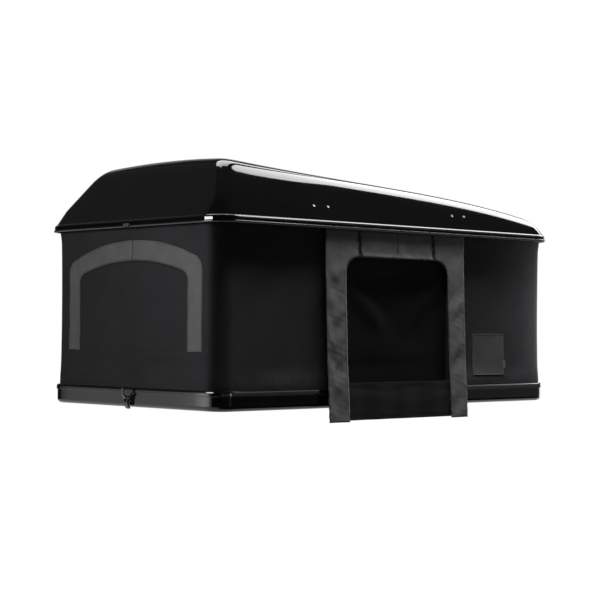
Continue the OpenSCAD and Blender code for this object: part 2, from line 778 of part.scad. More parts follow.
// Latch outlines are drawn in X-Z, X counted out from the tray's wall
module latch_slab(y, w) {
    translate([tray_wall_x, 0, 0]) plate_y(y, w) children();
}

lever_w = claw_w + 10;
ear_t = (latch_w - lever_w) / 2 - 0.4;

module low_latch_plate() {
    plate_t = 3.5;
    ear_r = 7;
    color(dark_metal) difference() {
        union() {
            translate([tray_wall_x, -latch_w / 2, rail_drop + tray_edge_r + 2])
                cube([plate_t, latch_w, tray_h - tray_edge_r - flange_h - 4]);
            for (y = [-latch_w / 2, latch_w / 2 - ear_t])
                latch_slab(y, ear_t) {
                    translate([0, latch_z - ear_r]) square([latch_pin_out, 2 * ear_r]);
                    translate([latch_pin_out, latch_z]) circle(ear_r);
                }
        }
        bar_y(tray_wall_x + latch_pin_out, -latch_w, latch_w, latch_z, latch_pin_r + fixed);
    }
}

module tall_latch_plate() { at_tall() low_latch_plate(); }

module latch_pins() {
    color(metal) for (x = [0, 1])
        mirror([x, 0, 0])
            bar_y(tray_wall_x + latch_pin_out, -latch_w / 2, latch_w / 2, latch_z, latch_pin_r);
}

// Throw-over claw, drawn latched and turned out to its open place
module low_latch_claw() {
    reach = lip_out + keeper_t + keeper_shelf;
    tip_h = 4;
    shank_t = 4.5;
    tip = reach - 2.2;
    inner = reach + 0.8;
    outer = inner + shank_t;
    top = claw_tip_z + tip_h;
    pin_x = latch_pin_out;
    color(dark_metal) difference() {
        translate([tray_wall_x + pin_x, 0, latch_z]) rotate([0, claw_turn, 0])
            translate([-tray_wall_x - pin_x, 0, -latch_z]) latch_slab(-claw_w / 2, claw_w) {
                translate([pin_x, latch_z]) circle(6.5);
                polygon([[pin_x - 4.6, latch_z + 4.6], [pin_x + 4.6, latch_z - 4.6],
                    [outer, latch_z + 14], [outer, top - 2], [outer - 2, top], [tip, top],
                    [tip, claw_tip_z], [inner, claw_tip_z], [inner, latch_z + 19]]);
            }
        bar_y(tray_wall_x + pin_x, -latch_w, latch_w, latch_z, latch_pin_r + running);
    }
}

module tall_latch_claw() { at_tall() low_latch_claw(); }

// Forked lever whose blade follows the rounded bottom edge of the tray
module low_latch_lever() {
    pin_x = latch_pin_out;
    fork = 20;
    boss_r = 7;
    tip_z = rail_drop - 7;
    boss = [for (a = [0 : 15 : 180]) [pin_x + boss_r * cos(a), latch_z + boss_r * sin(a)]];
    color(dark_metal) difference() {
        latch_slab(-lever_w / 2, lever_w) polygon(concat(boss, [[pin_x - 4, latch_z - fork],
            [pin_x - 7, rail_drop + 7], [pin_x - 13, tip_z + 4], [pin_x - 10, tip_z],
            [pin_x - 5, tip_z + 3], [pin_x + 3, rail_drop + 8], [pin_x + 7, latch_z - fork]]));
        translate([tray_wall_x - 1, -claw_w / 2 - 0.5, latch_z - fork + 2])
            cube([3 * pin_x, claw_w + 1, fork + 10]);
        bar_y(tray_wall_x + pin_x, -latch_w, latch_w, latch_z, latch_pin_r + running);
    }
}

module tall_latch_lever() { at_tall() low_latch_lever(); }

// How far out the hanging curtain lies: it leans out and folds more towards its foot
function hang(z) = max(0, (curtain_top - z) / (curtain_top - curtain_foot));
function curtain_y(x, z) =
    let (t = hang(z))
        hinge_y + curtain_lean * t * t
            + curtain_fold * t * (sin(360 * (x - door_x) / 175) + 0.8 * sin(360 * z / 290)) / 1.8;

// Stations round the inverted U, each from its outer edge to its inner edge
function leg_stations(s, foot, steps) =
    [for (i = [0 : steps - 1])
        let (z = foot + (door_top - door_r - foot) * i / steps)
            [[s * curtain_out, z], [s * curtain_in, z]]];
function corner_stations(s, steps) =
    let (c = [curtain_in - door_r, door_top - door_r],
        w = curtain_out - c.x, h = curtain_top - c.y, b = atan2(h, w))
        [for (i = [0 : 2 * steps])
            let (a = i < steps ? b * i / steps : b + (90 - b) * (i - steps) / steps,
                far = i < steps ? w / cos(a) : h / sin(a))
                [[s * (c.x + far * cos(a)), c.y + far * sin(a)],
                    [s * (c.x + door_r * cos(a)), c.y + door_r * sin(a)]]];
function reversed(list) = [for (i = [len(list) - 1 : -1 : 0]) list[i]];
function header_stations(steps) =
    let (x = curtain_in - door_r)
        [for (i = [1 : steps - 1])
            let (h = x * (2 * i / steps - 1)) [[h, curtain_top], [h, door_top]]];

// Curtain frame: grey strip that hangs from the curtain rail as an inverted U
module door_curtain(foot) {
    across = 4;
    stations = concat(leg_stations(-1, foot, 10), corner_stations(-1, 3), header_stations(12),
        reversed(corner_stations(1, 3)), reversed(leg_stations(1, foot, 10)));
    color(grey_cloth) cloth([for (q = stations)
        [for (i = [0 : across])
            let (p = q[0] + (q[1] - q[0]) * i / across, x = p.x + door_x)
                [x, -curtain_y(x, p.y), p.y]]], curtain_t);
}

module near_door_curtain() { door_curtain(curtain_foot); }
module far_door_curtain() { at_far() door_curtain(far_curtain_foot); }

// Skirt between the legs, behind them, with wrinkles that run across it
module door_skirt(curtain_end) {
    cols = 34;
    rows = 8;
    lap = 16;
    behind = curtain_t + 2 * skirt_fold + 0.6;
    foot = curtain_end + 6;
    half = curtain_in + lap;
    function fold(x, z) = skirt_fold * sin(360 * (z / 74 + 0.32 * sin(360 * x / 410) + x / 520));
    color(black_cloth) cloth([for (j = [0 : rows])
        [for (i = [0 : cols])
            let (x = door_x + half * (2 * i / cols - 1), z = foot + (skirt_top - foot) * j / rows,
                edge = min(1, 8 * min(i, cols - i) / cols),
                back = curtain_t + 0.5 + (behind - curtain_t - 0.5) * edge)
                [x, back + edge * fold(x, z) - curtain_y(x, z), z]]], 2);
}

module near_door_skirt() { door_skirt(curtain_foot); }
module far_door_skirt() { at_far() door_skirt(far_curtain_foot); }

// Straps sewn across the header of the curtain
module near_door_straps() {
    color(black_cloth) for (x = [-strap_x, strap_x])
        cloth([for (z = [door_top + 1, (door_top + curtain_top) / 2, curtain_top - 1])
            [for (s = [-0.5, 0.5])
                let (px = door_x + x + s * strap_w)
                    [px, -curtain_y(px, z) - (curtain_t + strap_t) / 2 - 0.4, z]]], strap_t);
}

module far_door_straps() { at_far() near_door_straps(); }

base_tray();
floor_board();
mattress();
near_mount_rail();
far_mount_rail();
lower_wall_rail();
tent_wall();
near_door_panel();
far_door_panel();
tall_window_panel();
low_window_panel();
tall_window_hood();
low_window_hood();
wall_patch();
tall_base_track();
low_base_track();
foot_pins();
tall_latch_plate();
low_latch_plate();
latch_pins();
roof_shell();
roof_frame();
roof_seal();
tall_brace();
low_brace();
roof_screws();
tall_keeper();
low_keeper();
tall_roof_track();
low_roof_track();
near_curtain_rail();
far_curtain_rail();
tall_arm_outer();
low_arm_outer();
tall_arm_inner();
low_arm_inner();
tall_outer_pins();
low_outer_pins();
tall_inner_pins();
low_inner_pins();
tall_outer_glide();
low_outer_glide();
tall_inner_glide();
low_inner_glide();
tall_gas_cylinder();
low_gas_cylinder();
tall_gas_rod();
low_gas_rod();
tall_latch_claw();
low_latch_claw();
tall_latch_lever();
low_latch_lever();
near_door_curtain();
far_door_curtain();
near_door_skirt();
far_door_skirt();
near_door_straps();
far_door_straps();
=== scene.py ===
"""Looks of a hard-shell roof top tent with a lifting roof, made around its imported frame.

Metres throughout. +X runs to the low end of the roof, the photographed door faces -Y, +Z is up.
"near" and "far" are the -Y and +Y long sides, "tall" and "low" the -X and +X ends.
"""
import json
import math

import bpy
import numpy as np
from mathutils import Matrix, Vector


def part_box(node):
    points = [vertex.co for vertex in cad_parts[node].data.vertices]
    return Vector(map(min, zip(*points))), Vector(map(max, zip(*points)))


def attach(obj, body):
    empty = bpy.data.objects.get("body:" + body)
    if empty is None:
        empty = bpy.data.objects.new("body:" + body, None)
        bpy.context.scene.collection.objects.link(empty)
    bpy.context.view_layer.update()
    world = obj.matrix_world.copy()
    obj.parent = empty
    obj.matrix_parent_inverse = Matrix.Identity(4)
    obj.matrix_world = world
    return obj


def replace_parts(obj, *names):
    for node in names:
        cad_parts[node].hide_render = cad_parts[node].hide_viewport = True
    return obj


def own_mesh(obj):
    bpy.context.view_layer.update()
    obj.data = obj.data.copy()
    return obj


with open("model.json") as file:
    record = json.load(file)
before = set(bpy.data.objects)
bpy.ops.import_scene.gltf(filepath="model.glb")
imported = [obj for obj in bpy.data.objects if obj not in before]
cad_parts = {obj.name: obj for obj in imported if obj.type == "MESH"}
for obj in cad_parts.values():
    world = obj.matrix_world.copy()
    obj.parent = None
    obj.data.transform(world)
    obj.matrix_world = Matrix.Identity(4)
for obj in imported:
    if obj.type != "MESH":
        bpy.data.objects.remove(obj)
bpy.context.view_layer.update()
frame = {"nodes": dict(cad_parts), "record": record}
nodes = frame["nodes"]

# Sizes that the visible surfaces share with the frame
LIP_HALF = np.array([1.075, 0.6205])
LIP_R = 0.108
LIP_Z = 0.787
LEDGE_Z = 0.819
SHELL_T = 0.005
DOME_HALF = LIP_HALF - 0.013
DOME_R = LIP_R - 0.013
FLANGE_HALF = LIP_HALF - 0.018
FLANGE_R = LIP_R - 0.018
TRAY_FOOT = 0.012
TRAY_TOP = 0.097
FLOOR_TOP = 0.018
WALL_HALF = np.array([1.0427, 0.5882])
WALL_R = 0.0757
WALL_FOOT = 0.057
WALL_TOP = 0.8027
DOOR_X = -0.022
DOOR_HALF = 0.345
DOOR_TOP = 0.669
DOOR_SILL = 0.107
DOOR_R = 0.080
HINGE_Y = 0.6075
CURTAIN_TOP = 0.7855
CURTAIN_FOOT = -0.048
CURTAIN_ENDS = {"near": CURTAIN_FOOT, "far": 0.036}
CURTAIN_IN = 0.322
CURTAIN_OUT = 0.444
SKIRT_TOP = 0.121
STRIP_W = CURTAIN_OUT - CURTAIN_IN
TIE_X = 0.237
HOOD_HALF = 0.470
HOOD_TOP = 0.733
HOOD_W = 0.087
WINDOW_INSET = 0.099
WINDOW_HALF = HOOD_HALF - WINDOW_INSET
WINDOW_FOOT = 0.255
PANEL_LAP = 0.014
PATCH_X, PATCH_Z = 0.628, 0.2385
PATCH_HALF = np.array([0.1070, 0.0950])

# Thicknesses of the cloths
WALL_T, PANEL_T, HOOD_T, CURTAIN_T, SKIRT_T = 0.0011, 0.0009, 0.0010, 0.0014, 0.0010
SEAM_T, TIE_T, PATCH_T, TAB_T = 0.0005, 0.0012, 0.0009, 0.0010


# ---- shape helpers

def rail_steps(count):
    """Shares from 0 to 1 (1 left out), closer together at both ends: 0.4 t + 0.3 (1 - cos pi t)."""
    t = np.arange(count) / count
    return 0.4 * t + 0.3 * (1 - np.cos(math.pi * t))


def outline(half, r, steps):
    """Points of a rounded rectangle from the middle of its +X side, counter-clockwise.

    steps gives the segments along a long side, along a short side and round a corner.
    """
    hx, hy = half
    along, across, turn = steps

    def side(a, b, count):
        return np.add(a, np.outer(rail_steps(count), np.subtract(b, a)))

    def bend(cx, cy, start):
        a = start + math.pi / 2 * np.arange(turn) / turn
        return np.column_stack([cx + r * np.cos(a), cy + r * np.sin(a)])

    x, y = hx - r, hy - r
    return np.concatenate([
        side((hx, 0), (hx, y), across // 2), bend(x, y, 0),
        side((x, hy), (-x, hy), along), bend(-x, y, math.pi / 2),
        side((-hx, y), (-hx, -y), across), bend(-x, -y, math.pi),
        side((-x, -hy), (x, -hy), along), bend(x, -y, 1.5 * math.pi),
        side((hx, -y), (hx, 0), across // 2)])


def rounded_profile(points, rounds=2):
    """Corner cutting: each corner of an open line gives way to points a quarter along its two sides."""
    p = np.asarray(points, float)
    for _ in range(rounds):
        a, b = p[:-1], p[1:]
        cut = np.stack([0.75 * a + 0.25 * b, 0.25 * a + 0.75 * b], 1).reshape(-1, p.shape[1])
        p = np.concatenate([p[:1], cut[1:-1], p[-1:]])
    return p


def grid_faces(rows, cols, wrap=False):
    """Four-cornered faces of a grid of points stored row by row; wrap joins the last column to the first."""
    i = np.arange(cols if wrap else cols - 1)
    j = np.arange(rows - 1)[:, None]
    a, b = j * cols + i, j * cols + (i + 1) % cols
    return np.stack([a, b, b + cols, a + cols], -1).reshape(-1, 4)


def cap_faces(start, n):
    """Strips across a ring of n points that is its own mirror image in Y, beginning at index start."""
    i = np.arange(1, n // 2 - 1)
    quads = np.stack([i, i + 1, n - i - 1, n - i], -1)
    ends = np.array([[0, 1, n - 1, n - 1], [n // 2 - 1, n // 2, n // 2 + 1, n // 2 + 1]])
    return np.concatenate([quads, ends]) + start


def piece(name, points, faces, finish, uv=None):
    """Smooth mesh object at the origin from arrays of points and faces.

    uv is given per point or per face corner. A face whose last two corners are one point is a triangle.
    """
    points = np.asarray(points, np.float32).reshape(-1, 3)
    faces = np.asarray(faces, np.int32)
    mesh = bpy.data.meshes.new(name)
    same = faces[:, -1] == faces[:, -2]
    if same.any():
        rows = [f[:3] if s else f for f, s in zip(faces.tolist(), same)]
        mesh.from_pydata(points.tolist(), [], rows)
    else:
        mesh.vertices.add(len(points))
        mesh.vertices.foreach_set("co", points.ravel())
        mesh.loops.add(faces.size)
        mesh.loops.foreach_set("vertex_index", faces.ravel())
        mesh.polygons.add(len(faces))
        mesh.polygons.foreach_set("loop_start", np.arange(0, faces.size, faces.shape[1], dtype=np.int32))
    mesh.update(calc_edges=True)
    mesh.polygons.foreach_set("use_smooth", np.ones(len(mesh.polygons), bool))
    if uv is not None:
        uv = np.asarray(uv, np.float32)
        if len(uv) != len(mesh.loops):
            corner = np.zeros(len(mesh.loops), np.int32)
            mesh.loops.foreach_get("vertex_index", corner)
            uv = uv[corner]
        mesh.uv_layers.new(name="UVMap").data.foreach_set("uv", uv.ravel())
    mesh.materials.append(finish)
    obj = bpy.data.objects.new(name, mesh)
    bpy.context.scene.collection.objects.link(obj)
    return obj


def thicken(obj, thickness):
    """Gives a sheet its thickness behind its drawn face, in its mesh, so that it folds with the sheet."""
    mod = obj.modifiers.new("thickness", "SOLIDIFY")
    mod.thickness, mod.offset = thickness, -1.0
    mod.use_even_offset = False
    drawn = obj.data
    obj.data = bpy.data.meshes.new_from_object(obj.evaluated_get(bpy.context.evaluated_depsgraph_get()))
    obj.modifiers.clear()
    bpy.data.meshes.remove(drawn)
    obj.data.name = obj.name
    return obj


# ---- shader helpers

def fill(n, values):
    """Sets a shader node's inputs by name or place and returns the node."""
    for key, value in values.items():
        n.inputs[key].default_value = value
    return n


def group(name, inputs, outputs):
    """Shader node group of float inputs, or vector ones where the value is None; gives its tree and ends."""
    tree = bpy.data.node_groups.new(name, "ShaderNodeTree")
    for key, value in inputs.items():
        kind = "NodeSocketVector" if value is None else "NodeSocketFloat"
        socket = tree.interface.new_socket(key, in_out="INPUT", socket_type=kind)
        if value is not None:
            socket.default_value = value
    for key in outputs:
        tree.interface.new_socket(key, in_out="OUTPUT", socket_type="NodeSocketFloat")
    return tree, tree.nodes.new("NodeGroupInput"), tree.nodes.new("NodeGroupOutput")


def math_node(tree, operation, a, b=None, clamp=False):
    """Adds a Math node fed by sockets or numbers and returns its output socket."""
    n = tree.nodes.new("ShaderNodeMath")
    n.operation, n.use_clamp = operation, clamp
    for i, v in enumerate((a, b)):
        if v is None:
            continue
        if isinstance(v, (int, float)):
            n.inputs[i].default_value = v
        else:
            tree.links.new(v, n.inputs[i])
    return n.outputs[0]


def weighted(tree, a, a_share, b, b_share):
    """Sum of two values, each times a share, which may be a socket or a number."""
    return math_node(tree, "ADD", math_node(tree, "MULTIPLY", a, a_share),
                     math_node(tree, "MULTIPLY", b, b_share))


def weave_group():
    """Plain weave: warp and weft threads as two sine rows that pass over each other in turn.

    Height is sin^2(pi u) over odd cells and sin^2(pi v) over even ones, u and v counted in threads.
    """
    tree, given, out = group("plain_weave", {"Vector": None, "Threads": 900.0}, ["Height"])
    split = tree.nodes.new("ShaderNodeSeparateXYZ")
    tree.links.new(given.outputs["Vector"], split.inputs[0])
    u = math_node(tree, "MULTIPLY", split.outputs[0], given.outputs["Threads"])
    v = math_node(tree, "MULTIPLY", split.outputs[1], given.outputs["Threads"])
    rows = []
    for p in (u, v):
        wave = math_node(tree, "SINE", math_node(tree, "MULTIPLY", p, math.pi))
        rows.append(math_node(tree, "MULTIPLY", wave, wave))
    cells = math_node(tree, "ADD", math_node(tree, "FLOOR", u), math_node(tree, "FLOOR", v))
    odd = math_node(tree, "PINGPONG", cells, 1.0)
    even = math_node(tree, "SUBTRACT", 1.0, odd)
    tree.links.new(weighted(tree, rows[0], odd, rows[1], even), out.inputs["Height"])
    return tree


def mottle_group():
    """Soft blotches: coarse and fine smooth noise, mixed three to one, as a value about 0.5."""
    tree, given, out = group("mottle", {"Vector": None, "Scale": 6.0}, ["Value"])
    parts = []
    for times in (1.0, 5.0):
        noise = fill(tree.nodes.new("ShaderNodeTexNoise"), {"Detail": 3.0})
        tree.links.new(given.outputs["Vector"], noise.inputs["Vector"])
        tree.links.new(math_node(tree, "MULTIPLY", given.outputs["Scale"], times), noise.inputs["Scale"])
        parts.append(noise.outputs[0])
    tree.links.new(weighted(tree, parts[0], 0.75, parts[1], 0.25), out.inputs["Value"])
    return tree


def brushed_group():
    """Brushing lines: fine noise drawn out 60 times along X."""
    tree, given, out = group("brushed_lines", {"Vector": None, "Scale": 400.0}, ["Value"])
    stretch = fill(tree.nodes.new("ShaderNodeMapping"), {"Scale": (1 / 60, 1.0, 1.0)})
    noise = fill(tree.nodes.new("ShaderNodeTexNoise"), {"Detail": 2.0})
    tree.links.new(given.outputs["Vector"], stretch.inputs["Vector"])
    tree.links.new(stretch.outputs[0], noise.inputs["Vector"])
    tree.links.new(given.outputs["Scale"], noise.inputs["Scale"])
    tree.links.new(noise.outputs[0], out.inputs["Value"])
    return tree


WEAVE, MOTTLE, BRUSHED = weave_group(), mottle_group(), brushed_group()


def material(name):
    """New node material; returns it with its tree, its Principled shader and its Texture Coordinate node."""
    mat = bpy.data.materials.new(name)
    mat.use_nodes = True
    tree = mat.node_tree
    return mat, tree, tree.nodes["Principled BSDF"], tree.nodes.new("ShaderNodeTexCoord")


def use_group(tree, made, coords, **values):
    """Places a node group in a material, fed by a coordinate socket."""
    n = tree.nodes.new("ShaderNodeGroup")
    n.node_tree = made
    tree.links.new(coords, n.inputs["Vector"])
    return fill(n, values).outputs[0]


def spread(tree, value, low, high):
    """Maps a value about 0.25 to 0.75 onto low to high."""
    n = fill(tree.nodes.new("ShaderNodeMapRange"),
             {"From Min": 0.25, "From Max": 0.75, "To Min": low, "To Max": high})
    tree.links.new(value, n.inputs["Value"])
    return n.outputs["Result"]


def tint(tree, factor, dark, light):
    """Colour between dark and light by a factor."""
    n = tree.nodes.new("ShaderNodeMix")
    n.data_type = "RGBA"
    fill(n, {6: (*dark, 1), 7: (*light, 1)})
    tree.links.new(factor, n.inputs["Factor"])
    return n.outputs[2]


def bump(tree, shader, height, distance):
    """Feeds a height through a Bump node into the shader's normal."""
    n = fill(tree.nodes.new("ShaderNodeBump"), {"Strength": 1.0, "Distance": distance})
    tree.links.new(height, n.inputs["Height"])
    tree.links.new(n.outputs[0], shader.inputs["Normal"])


def shades(colour, share):
    """The colour darkened and lightened by a share."""
    c = np.asarray(colour, float)
    return tuple(c * (1 - share)), tuple(c * (1 + share))


def gloss_finish(name, colour, rough_low, rough_high, peel, shine=0.5):
    """Polished moulded plastic: faint orange peel, cloudy polish and a little dust in the colour."""
    mat, tree, shader, coords = material(name)
    at = coords.outputs["Object"]
    cloud = use_group(tree, MOTTLE, at, Scale=3.0)
    grain = use_group(tree, MOTTLE, at, Scale=160.0)
    dark, light = shades(colour, 0.3)
    tree.links.new(tint(tree, cloud, dark, light), shader.inputs["Base Color"])
    tree.links.new(spread(tree, cloud, rough_low, rough_high), shader.inputs["Roughness"])
    bump(tree, shader, grain, peel)
    fill(shader, {"IOR": 1.5, "Specular IOR Level": shine})
    return mat


def cloth_finish(name, colour, rough, threads, depth, blotch, share, sheen, shine=0.12):
    """Woven coated cloth: a plain weave in the bump and colour, its share of the colour being painted shade
    between the threads, and soft blotches in colour and roughness, which on the grey cloth are painted shade
    of soft crumples.
    """
    mat, tree, shader, coords = material(name)
    # Soft blotches of tone; at the grey cloth's large share they are painted shade of soft crumples.
    blotches_and_crumple_shade = use_group(tree, MOTTLE, coords.outputs["Object"], Scale=blotch)
    thread = use_group(tree, WEAVE, coords.outputs["UV"], Threads=threads)
    # The weave's height in the colour is painted shade: darker where the threads dip.
    tone_and_painted_thread_shade = weighted(tree, blotches_and_crumple_shade, 0.8, thread, 0.2)
    dark, light = shades(colour, share)
    tree.links.new(tint(tree, tone_and_painted_thread_shade, dark, light), shader.inputs["Base Color"])
    tree.links.new(spread(tree, blotches_and_crumple_shade, rough - 0.06, rough + 0.06), shader.inputs["Roughness"])
    bump(tree, shader, thread, depth)
    fill(shader, {"Sheen Weight": sheen, "Sheen Roughness": 0.4, "Specular IOR Level": shine})
    return mat


def metal_finish(name, colour, rough, metallic, lines):
    """Brushed or coated metal: drawn-out lines in roughness and bump, cloudy tone."""
    mat, tree, shader, coords = material(name)
    at = coords.outputs["Object"]
    brushed = use_group(tree, BRUSHED, at, Scale=lines)
    cloud = use_group(tree, MOTTLE, at, Scale=25.0)
    dark, light = shades(colour, 0.18)
    tree.links.new(tint(tree, cloud, dark, light), shader.inputs["Base Color"])
    tree.links.new(spread(tree, brushed, rough - 0.08, rough + 0.08), shader.inputs["Roughness"])
    bump(tree, shader, brushed, 0.00003)
    shader.inputs["Metallic"].default_value = metallic
    return mat


def wood_finish(name, colour):
    """Sanded plywood: fine grain drawn out along X."""
    mat, tree, shader, coords = material(name)
    at = coords.outputs["Object"]
    grain = use_group(tree, BRUSHED, at, Scale=60.0)
    dark, light = shades(colour, 0.35)
    tree.links.new(tint(tree, grain, dark, light), shader.inputs["Base Color"])
    shader.inputs["Roughness"].default_value = 0.6
    bump(tree, shader, grain, 0.0002)
    return mat


# Finishes: the function that makes each, and its values in that function's order
FINISHES = {
    "roof_gloss": (gloss_finish, (0.0021, 0.0021, 0.0023), 0.05, 0.09, 0.000006),
    "tray_gloss": (gloss_finish, (0.0045, 0.0045, 0.005), 0.10, 0.16, 0.00001, 0.4),
    "wall_cloth": (cloth_finish, (0.028, 0.028, 0.0302), 0.78, 900, 0.00012, 4.5, 0.42, 0.03, 0.02),
    # panel_cloth: a darker copy of the wall cloth, partly a finer black cloth of its own and partly painted
    # shade of the recessed doorway.
    "panel_cloth": (cloth_finish, (0.0055, 0.0055, 0.006), 0.72, 1100, 0.0001, 5.0, 0.2, 0.02, 0.06),
    # grey_cloth: its strong blotches are painted shade of soft crumples.
    "grey_cloth": (cloth_finish, (0.098, 0.098, 0.101), 0.7, 800, 0.00014, 11.0, 0.5, 0.08),
    "patch_cloth": (cloth_finish, (0.054, 0.054, 0.056), 0.75, 1000, 0.00008, 12.0, 0.12, 0.05),
    "welt_cloth": (cloth_finish, (0.11, 0.11, 0.113), 0.7, 1400, 0.0001, 20.0, 0.15, 0.08),
    "skirt_cloth": (cloth_finish, (0.011, 0.011, 0.0116), 0.5, 1300, 0.00006, 7.0, 0.3, 0.03, 0.09),
    "webbing": (cloth_finish, (0.006, 0.006, 0.0065), 0.65, 700, 0.0003, 14.0, 0.3, 0.05),
    "thread": (cloth_finish, (0.022, 0.022, 0.024), 0.7, 3000, 0.00005, 30.0, 0.2, 0.1),
    "mattress_cloth": (cloth_finish, (0.17, 0.175, 0.185), 0.85, 600, 0.0003, 6.0, 0.15, 0.2),
    "plywood": (wood_finish, (0.40, 0.27, 0.15)),
    "seal_rubber": (gloss_finish, (0.012, 0.012, 0.012), 0.6, 0.75, 0.00006),
    "nylon": (gloss_finish, (0.70, 0.69, 0.65), 0.4, 0.5, 0.00002),
    "black_steel": (metal_finish, (0.014, 0.014, 0.015), 0.38, 0.0, 500.0),
    "steel": (metal_finish, (0.62, 0.62, 0.63), 0.36, 0.75, 700.0),
    "aluminium": (metal_finish, (0.64, 0.65, 0.67), 0.36, 1.0, 450.0),
    "black_aluminium": (metal_finish, (0.016, 0.016, 0.017), 0.42, 0.0, 450.0),
}
FINISH = {name: make(name, *values) for name, (make, *values) in FINISHES.items()}

for entry in frame["record"]["subparts"]:
    mesh = nodes[entry["node"]].data
    mesh.materials.clear()
    mesh.materials.append(FINISH[entry["material_slot"]])


# ---- roof shell

CREST_X = 0.152 - DOME_HALF[0]
SIDE_LEAN, TALL_LEAN, LOW_LEAN = (math.tan(math.radians(a)) for a in (33, 26, 34))
TALL_RISE, LOW_RISE, ROOF_BOW, ROOF_CROWN, SHOULDER = 0.274, 0.086, 0.031, 0.034, 0.066
SHOULDER_INSET = 1.5 * TALL_RISE * SIDE_LEAN
CORNER_BLEND = 0.06


def soft_min(a, b, k):
    """The smaller of two heights, rounded into each other where they differ by less than k."""
    h = np.maximum(k - np.abs(a - b), 0) / k
    return np.minimum(a, b) - h * h * k / 4


def dome_rise(x, y, t):
    """Height of the dome over its ledge: leaning walls rounded into a bowed and crowned roof.

    The roof line is tall + (low - tall) u + 4 bow u^2 (1 - u^2) - crown v^2; t draws the walls in.
    """
    u, v = (x - CREST_X) / (DOME_HALF[0] - CREST_X), y / DOME_HALF[1]
    roof = TALL_RISE + (LOW_RISE - TALL_RISE) * u + 4 * ROOF_BOW * u * u * (1 - u * u) - ROOF_CROWN * v * v
    qx, qy = np.abs(x) - DOME_HALF[0] + DOME_R, np.abs(y) - DOME_HALF[1] + DOME_R
    inset = DOME_R - np.hypot(np.maximum(qx, 0), np.maximum(qy, 0)) - np.minimum(np.maximum(qx, qy), 0)
    inset = np.minimum(inset, soft_min(DOME_R - qx, DOME_R - qy, CORNER_BLEND))
    s = np.maximum(inset - t, 0)
    e = (DOME_HALF[0] - np.abs(x) - t) / np.where(x < 0, TALL_LEAN, LOW_LEAN)
    wall = soft_min(s / SIDE_LEAN, e, 0.6 * s + 1e-5)
    return np.maximum(0, soft_min(wall, roof, SHOULDER))


def dome_ring(s, t, steps):
    """Ring of the dome drawn in by s at its sides, and at its ends in proportion to their lean."""
    a, b = (min(s, SHOULDER_INSET) * lean / SIDE_LEAN + max(s - SHOULDER_INSET, 0)
            for lean in (TALL_LEAN, LOW_LEAN))
    half = np.array([DOME_HALF[0] - (a + b) / 2, DOME_HALF[1] - s])
    p = outline(half, min(DOME_R, 0.9 * half[1]), steps)
    x = p[:, 0] + (a - b) / 2
    return np.column_stack([x, p[:, 1], LEDGE_Z - t + dome_rise(x, p[:, 1], t)])


def level_ring(half, r, d, z, steps):
    """Outline drawn in by d at one height."""
    p = outline(half - d, r - d, steps)
    return np.column_stack([p, np.full(len(p), z)])


def shell(name, rings, finish, uv=None):
    """Closed skin over a row of rings, its two ends closed by strips."""
    rows, n = len(rings), len(rings[0])
    faces = np.concatenate([grid_faces(rows, n, wrap=True), cap_faces(0, n)[:, ::-1],
                            cap_faces((rows - 1) * n, n)])
    return piece(name, np.concatenate(rings), faces, finish, uv)


def build_roof():
    """Roof shell: dome, ledge and beaded lip outside, the same surfaces a wall's thickness inside."""
    steps = (72, 40, 18)
    last = DOME_HALF[1] - 0.004
    top = np.concatenate([[0, 0.0008, 0.002, 0.004], np.arange(0.008, 0.26, 0.006),
                          np.linspace(0.27, last, 14)])
    under = np.concatenate([np.arange(0.005, 0.26, 0.02), np.linspace(0.27, last, 8)])
    lip = rounded_profile([(0.0122, LEDGE_Z), (0.0098, LEDGE_Z - 0.0003), (0.0040, LEDGE_Z - 0.0065),
                           (0.0034, LEDGE_Z - 0.009), (0.00334, LEDGE_Z - 0.0105), (0.00306, LIP_Z + 0.012),
                           (0.003, LIP_Z + 0.0105), (0.0006, LIP_Z + 0.0085),
                           (0, LIP_Z + 0.006), (0.0008, LIP_Z + 0.0014), (0.0024, LIP_Z), (0.005, LIP_Z),
                           (0.0088, LEDGE_Z - 0.009), (0.0108, LEDGE_Z - SHELL_T)], 2)
    rings = [dome_ring(s, 0, steps) for s in top[::-1]]
    rings += [level_ring(LIP_HALF, LIP_R, d, z, steps) for d, z in lip]
    rings += [dome_ring(s, SHELL_T, steps) for s in under]
    roof = shell("roof_shell_skin", rings, FINISH["roof_gloss"])
    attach(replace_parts(roof, "roof_shell"), "roof")


build_roof()


def build_tray():
    """Tray: floor, upright wall with a rounded bottom edge and a proud flange, as one closed skin."""
    steps = (10, 8, 18)
    t, proud, edge_r = TRAY_TOP, 0.0045, 0.02
    flange = rounded_profile([(0.014, FLOOR_TOP + 0.01), (0.014, t - 0.004), (0.014, t - 0.0015), (0.0125, t),
                              (0.0110, t), (0.0064, t - 0.0001), (0.0050, t - 0.0002), (0.0012, t - 0.0036),
                              (0.00105, t - 0.0044), (0.0005, t - 0.0074), (0.00034, t - 0.0085),
                              (0.00006, t - 0.0175), (0, t - 0.0195), (0, t - 0.0214),
                              (0.0002, t - 0.0221), (0.0012, t - 0.0222), (0.0042, t - 0.0222),
                              (proud, t - 0.0230), (proud, t - 0.0245), (proud, t - 0.028),
                              (proud, TRAY_FOOT + 0.028), (proud, TRAY_FOOT + edge_r)], 2)
    a = np.linspace(0, math.pi / 2, 10)[1:]
    edge = np.column_stack([proud + edge_r * (1 - np.cos(a)), TRAY_FOOT + edge_r * (1 - np.sin(a))])
    profile = np.concatenate([[(0.024, FLOOR_TOP)], flange, edge])
    rings = [level_ring(FLANGE_HALF, FLANGE_R, d, z, steps) for d, z in profile]
    tray = shell("tray_skin", rings, FINISH["tray_gloss"])
    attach(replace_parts(tray, "base_tray"), "base")


build_tray()


# ---- fabric: shared lines and folds

